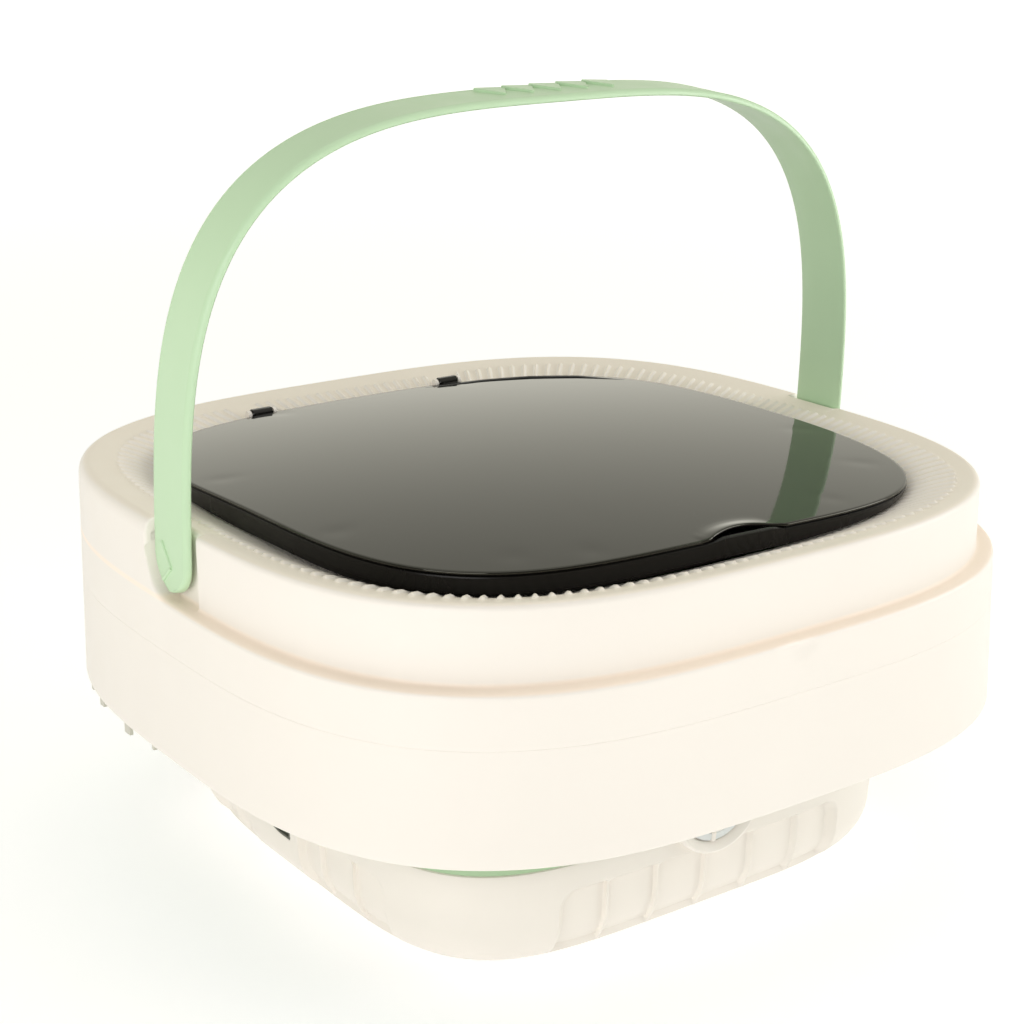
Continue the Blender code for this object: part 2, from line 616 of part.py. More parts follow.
def pulsator():
    dish = [(5.3, 72), (10, 72), (13, 66), (38, 60), (82, 57), (85, 55), (82, 53.2), (5.3, 53.2)]
    body = turned("pulsator", [(r * MM, z * MM) for r, z in dish], WHITE, steps=28, ring=True)
    for i in range(4):
        fin = box(f"fin_{i}", (14 * MM, -3 * MM, 54.5 * MM), (76 * MM, 3 * MM, 66 * MM), None)
        turn = Matrix.Rotation(math.radians(90 * i + 45), 4, "Z")
        fin.matrix_world = turn @ Matrix.Translation(fin.location)
        combine(body, fin, "UNION")
    cap = [(0, 77), (7, 76), (10, 73.6), (10, 72.3), (4.9, 72.3), (4.9, 64), (0, 64)]
    turned("pulsator_cap", [(r * MM, z * MM) for r, z in cap], WHITE, steps=24)


def electronics():
    box("control_board", (-0.095, -0.075, 14 * MM), (-0.035, -0.035, 15.6 * MM), BOARD)
    for i, (x, y) in enumerate(((-0.090, -0.070), (-0.040, -0.040))):
        rod(f"board_post_{i + 1}", 3 * MM, 7.9 * MM, 13.7 * MM, WHITE, (x, y, 0), steps=12)
    lead("motor_lead", [(-0.034, -0.050, 0.0150), (-0.010, -0.052, 0.0125), (0.015, -0.040, 0.0115), (0.032, -0.020, 0.014),
                        (0.0362, -0.008, 0.016)])
    lead("inlet_lead", [(0, 0.1170, 0.027), (-0.002, 0.104, 0.0265), (-0.030, 0.060, 0.016), (-0.050, 0.010, 0.0125),
                        (-0.060, -0.030, 0.0148)])


def lead(name, points):
    curve = bpy.data.curves.new(name, "CURVE")
    curve.dimensions = "3D"
    curve.bevel_depth = 1.5 * MM
    curve.bevel_resolution = 2
    curve.use_fill_caps = True
    spline = curve.splines.new("POLY")
    spline.points.add(len(points) - 1)
    for spot, place in zip(spline.points, points):
        spot.co = (*place, 1)
    curve.materials.append(COPPER_LEAD)
    obj = bpy.data.objects.new(name, curve)
    PARTS.objects.link(obj)


top_cover()
lower_skirt()
inner_rings()
strap()
lid()
bucket()
base_housing()
service_cover()
feet()
drum_floor()
control_boss()
power_inlet()
drain()
drive()
electronics()
bpy.context.view_layer.update()
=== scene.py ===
import bisect
import math

import bmesh
import bpy
from mathutils import Matrix, Vector


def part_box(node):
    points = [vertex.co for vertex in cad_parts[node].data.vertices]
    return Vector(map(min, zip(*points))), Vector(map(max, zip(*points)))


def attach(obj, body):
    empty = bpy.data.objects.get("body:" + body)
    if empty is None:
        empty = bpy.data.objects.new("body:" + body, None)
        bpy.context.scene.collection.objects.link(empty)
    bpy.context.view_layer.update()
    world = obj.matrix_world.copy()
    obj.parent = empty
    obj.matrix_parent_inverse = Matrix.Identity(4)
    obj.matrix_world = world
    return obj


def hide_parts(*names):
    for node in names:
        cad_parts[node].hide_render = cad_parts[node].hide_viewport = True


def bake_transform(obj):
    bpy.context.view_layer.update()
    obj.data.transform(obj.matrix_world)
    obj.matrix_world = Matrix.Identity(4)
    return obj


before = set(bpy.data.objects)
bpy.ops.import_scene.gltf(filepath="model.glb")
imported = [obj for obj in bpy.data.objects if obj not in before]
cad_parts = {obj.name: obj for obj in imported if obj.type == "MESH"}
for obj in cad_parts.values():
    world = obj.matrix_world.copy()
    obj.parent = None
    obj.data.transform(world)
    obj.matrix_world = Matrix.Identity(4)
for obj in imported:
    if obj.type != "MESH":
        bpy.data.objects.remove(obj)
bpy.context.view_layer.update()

MM = 0.001
TURN = 2 * math.pi
QUARTER = [math.radians(degrees) for degrees in range(0, 91, 6)]

# Heights are given above the ledge that the folded strap lies on, in millimetres, unless a name
# says otherwise. Plan outlines are superellipses |x/half|^power + |y/half|^power = 1.
RIM_TOP = 28.9
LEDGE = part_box("top_cover")[1][2] / MM - RIM_TOP
SEAM = -22.2
SKIRT_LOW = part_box("lower_skirt")[0][2] / MM - LEDGE - 0.5
BODY_HALF = 185.0
BODY_POWER = 3.113
WALL = 2.4
FLARE = 0.0245
FRONT_WALL = 178.3
POCKET_WALL = 175.8
PIVOT_Y = -2.2
POCKET_ROUND = 18.5
POCKET_END = PIVOT_Y + POCKET_ROUND
POCKET_FRONT = -19.4

MOUTH_HALF = 143.5
DECK_EDGE = (174.6, 28.5)
DECK_STEP = (166.0, 26.8)
DECK_SLOPE = 0.27
RIBS = 180
RIB_RISE = 1.3
RIM_LIFT = 3.2
RIM_TILT = (0.23, 0.33)
RIB_TIP = 166.6
RIB_TIP_POWER = 3.42
RIB_WIDTH = 3.4

LID_POWER = 3.65
LID_HALF = 146.9
LID_SHIFT = Matrix.Translation((-1.4 * MM, 1.0 * MM, 0))
NOTCH_X = 6.0
NOTCH_REACH = 20.0
# Faint sink marks in the smoked sheet: (x, y, depth).
SINKS = ((-64, -133, 0.10), (-133, -58, 0.12), (-133, 40, 0.12), (66, -130, 0.10), (134, -40, 0.14),
         (-93, -122, 0.10), (118, -96, 0.12), (-50, 139, 0.12), (61, 139, 0.12), (-40, -96, 0.05))
HINGE_Y = 151.0
HINGE_Z = 27.2
HINGE_X = 55.5

BASE_POWER = 4.5
BASE_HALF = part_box("base_housing")[1][0] / MM
BASE_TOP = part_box("base_housing")[1][2] / MM + 1.2
BASE_LOW = 2.8
BUTTON_Z = 60.5

STRAP_HALF = 181.7
STRAP_THICK = 3.1
STRAP_WIDTH = 30.0
STRAP_RISE = 187.1
STRAP_START = 10.0
STRAP_POWER = 3.39
STRAP_LEAN = math.radians(3.3)
STRAP_FOOT = 18.4

# The camera's angles, and its distance and sideways and upward shift in body half sizes.
CAMERA_YAW = math.radians(-35.311)
CAMERA_RISE = math.radians(17.679)
CAMERA_ROLL = math.radians(-0.129)
CAMERA_LENS = 72.44
CAMERA_AWAY = 5.13452
CAMERA_SHIFT = (-0.04068, 0.02147)

scene = bpy.context.scene


# ------------------------------------------------------------------ camera, light, floor

def add_camera():
    """The view from the front left and a little above, as a long lens sees it."""
    yaw, rise, roll = CAMERA_YAW, CAMERA_RISE, CAMERA_ROLL
    unit = BODY_HALF * MM
    back = Vector((math.sin(yaw) * math.cos(rise), -math.cos(yaw) * math.cos(rise), math.sin(rise)))
    right = Vector((math.cos(yaw), math.sin(yaw), 0))
    up = back.cross(right)
    right, up = (right * math.cos(roll) + up * math.sin(roll), up * math.cos(roll) - right * math.sin(roll))
    target = Vector((0, 0, LEDGE * MM)) + (right * CAMERA_SHIFT[0] + up * CAMERA_SHIFT[1]) * unit
    data = bpy.data.cameras.new("camera")
    data.lens = CAMERA_LENS
    data.sensor_width = 36
    data.clip_end = 100
    camera = bpy.data.objects.new("camera", data)
    camera.matrix_world = Matrix.Translation(target + back * CAMERA_AWAY * unit) @ Matrix(
        (right, up, back)).transposed().to_4x4()
    scene.collection.objects.link(camera)
    scene.camera = camera


def add_light(name, place, target, size, power, colour=(1, 1, 1)):
    data = bpy.data.lights.new(name, "AREA")
    data.shape = "RECTANGLE"
    data.size, data.size_y = size
    data.energy = power
    data.color = colour
    light = bpy.data.objects.new(name, data)
    light.location = place
    light.rotation_euler = (Vector(place) - Vector(target)).to_track_quat("Z", "Y").to_euler()
    scene.collection.objects.link(light)


def add_studio():
    """Soft boxes at the front, a bright sweep behind, and a pale floor."""
    middle = (0, 0, 0.14)
    add_light("key_left", (-1.6, -1.2, 0.85), middle, (1.5, 1.2), 20.5)
    add_light("key_right", (1.9, -1.15, 0.8), middle, (1.5, 1.2), 20.5)
    add_light("top", (0.1, 0.2, 2.0), middle, (1.6, 1.6), 5)
    add_sweep()
    add_floor()
    scene.view_settings.view_transform = "Standard"


def fade(tree, source, from_low, from_high, to_low, to_high):
    made = tree.nodes.new("ShaderNodeMapRange")
    made.interpolation_type = "SMOOTHSTEP"
    made.inputs["From Min"].default_value = from_low
    made.inputs["From Max"].default_value = from_high
    made.inputs["To Min"].default_value = to_low
    made.inputs["To Max"].default_value = to_high
    tree.links.new(source, made.inputs["Value"])
    return made.outputs["Result"]


def add_sweep():
    """A white sweep behind the object: brightest low down at the back, dim at the front."""
    world = bpy.data.worlds.new("studio")
    scene.world = world
    world.use_nodes = True
    tree = world.node_tree
    place = tree.nodes.new("ShaderNodeTexCoord")
    along = tree.nodes.new("ShaderNodeVectorMath")
    along.operation = "DOT_PRODUCT"
    along.inputs[1].default_value = (-0.578, -0.816, 0)
    tree.links.new(place.outputs["Generated"], along.inputs[0])
    apart = tree.nodes.new("ShaderNodeSeparateXYZ")
    tree.links.new(place.outputs["Generated"], apart.inputs["Vector"])
    both = tree.nodes.new("ShaderNodeMath")
    both.operation = "MULTIPLY"
    tree.links.new(fade(tree, along.outputs["Value"], -0.35, 0.55, 1.0, 0.20), both.inputs[0])
    tree.links.new(fade(tree, apart.outputs["Z"], 0.02, 0.50, 1.16, 0.66), both.inputs[1])
    tree.links.new(both.outputs["Value"], tree.nodes["Background"].inputs["Strength"])
    tree.nodes["Background"].inputs["Color"].default_value = (1, 0.98, 0.86, 1)


def add_floor():
    """Pale floor that glows a little more the further it is from the lights."""
    bpy.ops.mesh.primitive_plane_add(size=60)
    floor = bpy.context.object
    floor.name = "floor"
    pale = bpy.data.materials.new("pale_floor")
    pale.use_nodes = True
    tree = pale.node_tree
    shader = tree.nodes["Principled BSDF"]
    shader.inputs["Base Color"].default_value = (0.8, 0.8, 0.8, 1)
    shader.inputs["Roughness"].default_value = 0.9
    shader.inputs["Specular IOR Level"].default_value = 0.0
    shader.inputs["Emission Color"].default_value = (1, 1, 1, 1)
    place = tree.nodes.new("ShaderNodeTexCoord")
    away = tree.nodes.new("ShaderNodeVectorMath")
    away.operation = "LENGTH"
    tree.links.new(place.outputs["Object"], away.inputs[0])
    glow = fade(tree, away.outputs["Value"], 0.4, 3.5, 0.44, 0.80)
    tree.links.new(glow, shader.inputs["Emission Strength"])
    floor.data.materials.append(pale)


# ------------------------------------------------------------------ materials

def finish(name, colour, rough, mottle=0.03, grain=1400, relief=0.02, metallic=0.0, coat=0.0,
           stretch=(1, 1, 1)):
    """Moulded or metal surface: faint mottling, uneven gloss and a fine grain of this relief in mm."""
    mat = bpy.data.materials.new(name)
    mat.use_nodes = True
    nodes, links = mat.node_tree.nodes, mat.node_tree.links
    shader = nodes["Principled BSDF"]
    shader.inputs["Metallic"].default_value = metallic
    shader.inputs["Coat Weight"].default_value = coat
    shader.inputs["Coat Roughness"].default_value = 0.08
    place = nodes.new("ShaderNodeTexCoord")
    spread = nodes.new("ShaderNodeMapping")
    spread.inputs["Scale"].default_value = stretch
    links.new(place.outputs["Object"], spread.inputs["Vector"])

    def noise(scale, detail):
        made = nodes.new("ShaderNodeTexNoise")
        made.inputs["Scale"].default_value = scale
        made.inputs["Detail"].default_value = detail
        links.new(spread.outputs["Vector"], made.inputs["Vector"])
        return made.outputs["Fac"]

    tint = nodes.new("ShaderNodeMix")
    tint.data_type = "RGBA"
    tint.inputs["A"].default_value = (*[c * (1 - mottle) for c in colour], 1)
    tint.inputs["B"].default_value = (*[min(c * (1 + mottle), 1) for c in colour], 1)
    links.new(noise(22, 3), tint.inputs["Factor"])
    links.new(tint.outputs["Result"], shader.inputs["Base Color"])
    gloss = nodes.new("ShaderNodeMapRange")
    gloss.inputs["From Min"].default_value = 0.3
    gloss.inputs["From Max"].default_value = 0.7
    gloss.inputs["To Min"].default_value = max(rough - 0.06, 0.02)
    gloss.inputs["To Max"].default_value = min(rough + 0.06, 1)
    links.new(noise(60, 4), gloss.inputs["Value"])
    links.new(gloss.outputs["Result"], shader.inputs["Roughness"])
    bump = nodes.new("ShaderNodeBump")
    bump.inputs["Strength"].default_value = 0.35
    bump.inputs["Distance"].default_value = relief * MM
    links.new(noise(grain, 2), bump.inputs["Height"])
    links.new(bump.outputs["Normal"], shader.inputs["Normal"])
    return mat


def polished_black():
    """Smoked lid sheet: deep gloss with a little dust that dulls it in spots."""
    mat = finish("smoked_sheet", (0.0085, 0.0082, 0.0070), 0.06, 0.1, 500, 0.002)
    nodes, links = mat.node_tree.nodes, mat.node_tree.links
    shader = nodes["Principled BSDF"]
    shader.inputs["Specular Tint"].default_value = (1.0, 0.97, 0.80, 1)
    dust = nodes.new("ShaderNodeTexVoronoi")
    dust.inputs["Scale"].default_value = 140
    place = nodes.new("ShaderNodeTexCoord")
    links.new(place.outputs["Object"], dust.inputs["Vector"])
    speck = nodes.new("ShaderNodeMapRange")
    speck.inputs["From Min"].default_value = 0.02
    speck.inputs["From Max"].default_value = 0.05
    speck.inputs["To Min"].default_value = 0.30
    speck.inputs["To Max"].default_value = 0.055
    links.new(dust.outputs["Distance"], speck.inputs["Value"])
    links.new(speck.outputs["Result"], shader.inputs["Roughness"])
    return mat


CREAM = (0.90, 0.848, 0.780)
# The base's cream below is the cover cream made a little darker: painted shade for the base sitting under the
# skirt.
BASE_SHADE_CREAM = (0.87, 0.818, 0.745)
# The deck's cream below is painted shade: warmer and a little darker, for the dimmer light on upward-facing
# deck surfaces.
DECK_SHADE_CREAM = (0.91, 0.835, 0.723)
GREEN = (0.54, 0.73, 0.48)
MATERIALS = {
    "cream_plastic": finish("cream_moulding", CREAM, 0.42, 0.012, 1300, 0.02),
    "green_plastic": finish("green_moulding", GREEN, 0.40, 0.015, 1300, 0.02),
    "green_rubber": finish("green_elastomer", (0.46, 0.64, 0.40), 0.62, 0.03, 900, 0.03),
    "black_plastic": finish("black_gloss_moulding", (0.007, 0.0063, 0.0052), 0.20, 0.1, 900, 0.008),
    "smoked_window": polished_black(),
    "black_rubber": finish("black_elastomer", (0.02, 0.02, 0.02), 0.75, 0.15, 900, 0.04),
    "white_plastic": finish("white_moulding", (0.82, 0.83, 0.82), 0.38, 0.02, 1300, 0.02),
    "steel": finish("zinc_plated_steel", (0.60, 0.61, 0.62), 0.32, 0.08, 700, 0.01, 1.0, stretch=(1, 1, 9)),
    "bronze": finish("sintered_bronze", (0.60, 0.42, 0.20), 0.38, 0.12, 2200, 0.02, 1.0),
    "circuit_board": finish("solder_mask", (0.02, 0.17, 0.07), 0.35, 0.12, 800, 0.03),
    "lead_sheath": finish("lead_sheath_vinyl", (0.35, 0.02, 0.02), 0.45, 0.05, 900, 0.02),
}


def cover_cream_painted_shade():
    """The cover's cream, with painted shade: a peach band of painted warm bounce light and shade in the
    groove where the wall meets the ledge, and a warmer cream painted on the upward-facing deck for the warm
    shade it lies in.
    """
    mat = finish("cream_cover_painted_shade", CREAM, 0.42, 0.012, 1300, 0.02)
    tree = mat.node_tree
    shader = tree.nodes["Principled BSDF"]
    plain = shader.inputs["Base Color"].links[0].from_socket
    place = tree.nodes.new("ShaderNodeTexCoord")
    apart = tree.nodes.new("ShaderNodeSeparateXYZ")
    tree.links.new(place.outputs["Object"], apart.inputs["Vector"])
    level = LEDGE * MM
    rising = fade(tree, apart.outputs["Z"], level - 0.0012, level - 0.0002, 0, 1)
    falling = fade(tree, apart.outputs["Z"], level + 0.0003, level + 0.0022, 1, 0)
    both = tree.nodes.new("ShaderNodeMath")
    both.operation = "MULTIPLY"
    tree.links.new(rising, both.inputs[0])
    tree.links.new(falling, both.inputs[1])
    tint = tree.nodes.new("ShaderNodeMix")
    tint.data_type = "RGBA"
    tree.links.new(both.outputs["Value"], tint.inputs["Factor"])
    tree.links.new(plain, tint.inputs["A"])
    # Peach painted in the groove: painted warm bounce light and shade where the wall meets the ledge.
    tint.inputs["B"].default_value = (1.0, 0.87, 0.74, 1)
    facing = tree.nodes.new("ShaderNodeSeparateXYZ")
    tree.links.new(place.outputs["Normal"], facing.inputs["Vector"])
    # Painted shade on the deck: faces that point up, above the ledge, take the warmer, darker deck cream.
    above = fade(tree, apart.outputs["Z"], level + 0.010, level + 0.014, 0, 1)
    upward_shade_mask = tree.nodes.new("ShaderNodeMath")
    upward_shade_mask.operation = "MULTIPLY"
    tree.links.new(fade(tree, facing.outputs["Z"], 0.72, 0.97, 0, 1), upward_shade_mask.inputs[0])
    tree.links.new(above, upward_shade_mask.inputs[1])
    deck = tree.nodes.new("ShaderNodeMix")
    deck.data_type = "RGBA"
    tree.links.new(upward_shade_mask.outputs["Value"], deck.inputs["Factor"])
    tree.links.new(tint.outputs["Result"], deck.inputs["A"])
    deck.inputs["B"].default_value = (*DECK_SHADE_CREAM, 1)
    tree.links.new(deck.outputs["Result"], shader.inputs["Base Color"])
    return mat


SKIRT_BLACK = finish("lid_skirt_black", (0.0050, 0.0044, 0.0036), 0.30, 0.1, 700, 0.01, stretch=(1, 1, 0.12))
SKIRT_BLACK.node_tree.nodes["Principled BSDF"].inputs["Specular IOR Level"].default_value = 0.22
# The base's moulding carries painted shade: its cream is a darker copy of the cover cream.
BASE_FINISH = finish("cream_base_painted_shade", BASE_SHADE_CREAM, 0.42, 0.012, 1300, 0.02)
# The tabs' cream is much darker than the cover cream: painted shade for tabs that hang in the skirt's shadow.
TAB_SHADE_FINISH = finish("cream_tab_painted_shade", (0.62, 0.60, 0.52), 0.5, 0.03, 1300, 0.02)
PORT_GREY = finish("port_liner_grey", (0.115, 0.115, 0.09), 0.55, 0.05, 900, 0.02)
LIGHT_RING = finish("diffuser_white", (0.74, 0.76, 0.75), 0.3, 0.03, 1300, 0.01)


def finish_carried_nodes():
    """Every CAD node that still shows takes the detailed material of its slot."""
    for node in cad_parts.values():
        for holder in node.material_slots:
            key = holder.material.name.split(".")[0]
            if key in MATERIALS:
                holder.material = MATERIALS[key]


# ------------------------------------------------------------------ mesh helpers

def plan_point(half, power, angle):
    c, s = math.cos(angle), math.sin(angle)
    reach = half / (abs(c) ** power + abs(s) ** power) ** (1 / power)
    return reach * c, reach * s


def equal_angles(half, power, count, fractions=(0.0,)):
    """Angles that cut the outline into equal lengths, with these fractions inside each length."""
    steps = 7200
    points = [plan_point(half, power, TURN * i / steps) for i in range(steps + 1)]
    run = [0.0]
    for a, b in zip(points, points[1:]):
        run.append(run[-1] + math.dist(a, b))
    found = []
    for i in range(count):
        for part in fractions:
            want = run[-1] * (i + part) / count
            k = min(bisect.bisect_right(run, want), steps)
            found.append(TURN * (k - 1 + (want - run[k - 1]) / (run[k] - run[k - 1])) / steps)
    return found


def show(name, mesh, slot, body, replaces=(), mat=None, sharp=32):
    """Puts a finished mesh in the scene, hangs it on its body's empty and hides the CAD parts it replaces."""
    mesh.materials.append(mat or MATERIALS[slot])
    mesh.shade_smooth()
    mesh.set_sharp_from_angle(angle=math.radians(sharp))
    obj = bpy.data.objects.new(name, mesh)
    scene.collection.objects.link(obj)
    if body:
        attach(obj, body)
    if replaces:
        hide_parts(*replaces)
    return obj


def mesh_from(name, points, faces, matrix=None):
    """A mesh from points in millimetres, welded and with its faces pointing out."""
    bm = bmesh.new()
    made = [bm.verts.new([c * MM for c in p]) for p in points]
    for face in faces:
        corners = []
        for i in face:
            if made[i] not in corners:
                corners.append(made[i])
        if len(corners) > 2:
            bm.faces.new(corners)
    bmesh.ops.remove_doubles(bm, verts=bm.verts, dist=2e-6)
    bmesh.ops.dissolve_degenerate(bm, edges=bm.edges, dist=1e-6)
    bmesh.ops.recalc_face_normals(bm, faces=bm.faces)
    if matrix is not None:
        bmesh.ops.transform(bm, matrix=matrix, verts=bm.verts)
    mesh = bpy.data.meshes.new(name)
    bm.to_mesh(mesh)
    bm.free()
    return mesh


def skin(columns, ring=True, caps=False, around=True):
    """Points and faces over columns. ring closes each column on itself, around joins last to first."""
    points = [p for column in columns for p in column]
    size = len(columns[0])
    faces = []
    for i in range(len(columns) if around else len(columns) - 1):
        here, after = i * size, (i + 1) % len(columns) * size
        for j in range(size if ring else size - 1):
            k = (j + 1) % size
            faces.append((here + j, here + k, after + k, after + j))
    if caps:
        faces.append([i * size for i in range(len(columns))])
        faces.append([i * size + size - 1 for i in range(len(columns))])
    return points, faces


def sweep(name, profile, power, columns, ring=True, caps=False, shape=None):
    """Carries a profile of (half size, height above the ledge) round the superellipse."""
    rows = []
    for angle in equal_angles(profile[0][0], power, columns):
        row = [(*plan_point(h, power, angle), LEDGE + z) for h, z in profile]
        rows.append([shape(*p) for p in row] if shape else row)
    return mesh_from(name, *skin(rows, ring, caps))


def turned(name, profile, place, turn, steps=96, ring=True):
    """Turns a profile of (radius, height) about its own Z, then stands it at place."""
    rows = []
    for i in range(steps):
        c, s = math.cos(TURN * i / steps), math.sin(TURN * i / steps)
        rows.append([(r * c, r * s, z) for r, z in profile])
    matrix = Matrix.Translation([c * MM for c in place]) @ turn.to_4x4()
    return mesh_from(name, *skin(rows, ring), matrix)


def prism(outline, low, high, bevel=0.0):
    """Points and faces of an upright prism on a plan outline, with its top edge chamfered."""
    count = len(outline)
    cx = sum(x for x, _ in outline) / count
    cy = sum(y for _, y in outline) / count
    rings = [[(x, y, low) for x, y in outline], [(x, y, high - bevel) for x, y in outline]]
    if bevel:
        def pull(x, y):
            reach = math.hypot(x - cx, y - cy)
            return cx + (x - cx) * (1 - bevel / reach), cy + (y - cy) * (1 - bevel / reach)
        rings.append([(*pull(x, y), high) for x, y in outline])
    points = [p for ring in rings for p in ring]
    faces = [tuple(range(count)), tuple(range(len(points) - count, len(points)))]
    for r in range(len(rings) - 1):
        for i in range(count):
            k = (i + 1) % count
            faces.append((r * count + i, r * count + k, (r + 1) * count + k, (r + 1) * count + i))
    return points, faces


def join(*shapes):
    """Several (points, faces) as one."""
    points, faces = [], []
    for more_points, more_faces in shapes:
        start = len(points)
        points += more_points
        faces += [tuple(start + i for i in face) for face in more_faces]
    return points, faces


def smooth(low, high, value):
    t = min(max((value - low) / (high - low), 0), 1)
    return t * t * (3 - 2 * t)


def blend_numbers(a, b, t):
    return a + (b - a) * t


# ------------------------------------------------------------------ top cover

def shell_half(rise):
    return BODY_HALF - FLARE * rise


def deck_height(half):
    (far, high), (near, low) = DECK_EDGE, DECK_STEP
    if half < near:
        return low - DECK_SLOPE * (near - half)
    return low + (high - low) * (half - near) / (far - near)


def rib_tip(angle):
    """Where a rib ends, as a half size of the body outline: the tips lie on a squarer outline."""
    tip = math.hypot(*plan_point(RIB_TIP, RIB_TIP_POWER, angle))
    return RIB_TIP * tip / math.hypot(*plan_point(RIB_TIP, BODY_POWER, angle))


def pocket_at(y):
    """(wall half size, ledge height, full): the recess for the strap, where the side wall has this y."""
    if y <= POCKET_FRONT:
        return FRONT_WALL, 0.0, False
    if y <= PIVOT_Y:
        round_off = smooth(0, 0.7, y - POCKET_FRONT)
        return blend_numbers(FRONT_WALL, POCKET_WALL, round_off), 0.0, False
    if y < POCKET_END:
        return POCKET_WALL, POCKET_ROUND - math.sqrt(POCKET_ROUND ** 2 - (y - PIVOT_Y) ** 2), False
    edge = max(1 - (y - POCKET_END) / 1.6, 0)
    return 1.6 * (1 - math.sqrt(1 - edge * edge)), POCKET_ROUND, True


def cover_side(wall, ledge, full):
    """Side and rim as (half, height): down the wall, under the ledge and back up to the mouth."""
    radius = 5.0 if full else 2.6
    top = shell_half(RIM_TOP) - wall if full else wall
    turn = [math.radians(a) for a in (-13, 0, 18, 36, 54, 72, 90)]
    rim = [(top - radius + radius * math.sin(a), RIM_TOP - radius + radius * math.cos(a)) for a in turn]
    start = rim[-1][1]
    foot = ledge - 1.9
    if full:
        levels = [blend_numbers(start, foot, (i + 1) / 13) for i in range(13)]
        side = [(shell_half(z) - wall, z) for z in levels]
    else:
        side = [(top, blend_numbers(start, ledge + 1.8, t)) for t in (0.25, 0.5, 0.75)]
        side += [(top, ledge + 1.8), (top + 0.16, ledge + 0.85), (top + 0.62, ledge + 0.22)]
        side += [(top + 1.5, ledge)]
        side += [((top + 184.5) / 2, ledge), (182.9, ledge), (184.1, ledge - 0.25)]
        side += [(184.75, ledge - 0.85), (shell_half(foot), foot), (shell_half(foot - 0.3), foot - 0.3)]
    low = side[-1][1]
    shares = (0.09, 0.19, 0.29, 0.39, 0.5, 0.62, 0.75, 0.88, 0.98, 1.0)
    lower = [blend_numbers(low, SEAM + 0.1, share) for share in shares]
    side += [(shell_half(z), z) for z in lower] + [(shell_half(SEAM) - 0.05, SEAM + 0.02)]
    inner = 181.6 if full else top - 2.4
    step = ledge - 3.2
    side += [(182.4, SEAM), (182.3, min(step, 8)), (inner, step + 1), (inner, 22.5), (inner - 5, 24.6)]
    return side + [(150, deck_height(150) - 2.4), (MOUTH_HALF + 2.4, 17)], rim


def finger_scoop(x, y, z):
    """The half-round finger dimple under the ledge at the front."""
    rise = z - LEDGE
    if y > -150 or rise > -0.2 or rise < -10:
        return x, y, z
    reach = ((x + 2.4) / 12.2) ** 2 + (rise / 9.5) ** 2
    return x, y + 1.5 * smooth(0, 1, 1 - reach) * smooth(0.2, 2.2, -rise), z


def clear_of_hinge(angle):
    """0 on the plain pads that the hinge cheeks stand on, 1 elsewhere."""
    x, y = plan_point(HINGE_Y, BODY_POWER, angle)
    return 0.0 if y > 0 and abs(abs(x) - HINGE_X) < 7.5 else 1.0


def rib_height(share, short_of_tip, pitch):
    """Height of the rounded deck ribs: share runs 0 to 1 over one pitch, and the tips are round."""
    across = abs(share - 0.5) * pitch
    beyond = max(RIB_WIDTH / 2 - short_of_tip, 0)
    return RIB_RISE * smooth(RIB_WIDTH / 2, 0.15, math.hypot(across, beyond))


def cover_warp(x, y, z):
    """The cover isn't quite level: its rim and outer deck stand higher towards the front left."""
    high = RIM_LIFT * (0.60 - (RIM_TILT[0] * x + RIM_TILT[1] * y) / BODY_HALF)
    half = lid_deck_half(x, y)
    return x, y, z + high * smooth(148, 165, half) * smooth(4, 24, z - LEDGE)


def cover_angles(step):
    """(angle, whether the coarse grid has it too): finest across the ribs and round the pockets."""
    parts = (0.0, 0.10, 0.16, 0.21, 0.26, 0.33, 0.42, 0.5, 0.58, 0.67, 0.74, 0.79, 0.84, 0.90)
    angles = [((i + part) * step, part in (0.0, 0.26, 0.5, 0.74)) for i in range(RIBS) for part in parts]
    marks = [POCKET_FRONT + s for s in (0, 0.2, 0.35, 0.5, 0.7)]
    marks += [PIVOT_Y + POCKET_ROUND * math.sin(math.radians(d)) for d in range(0, 90, 8)]
    marks += [POCKET_END - 1e-4, POCKET_END + 1e-4, POCKET_END + 0.15, POCKET_END + 0.5, POCKET_END + 1.0]
    marks += [POCKET_END + 1.7]
    for y in marks:
        x = (BODY_HALF ** BODY_POWER - abs(y) ** BODY_POWER) ** (1 / BODY_POWER)
        angles += [(math.atan2(y, x) % TURN, True), (math.atan2(y, -x) % TURN, True)]
    return sorted(angles)


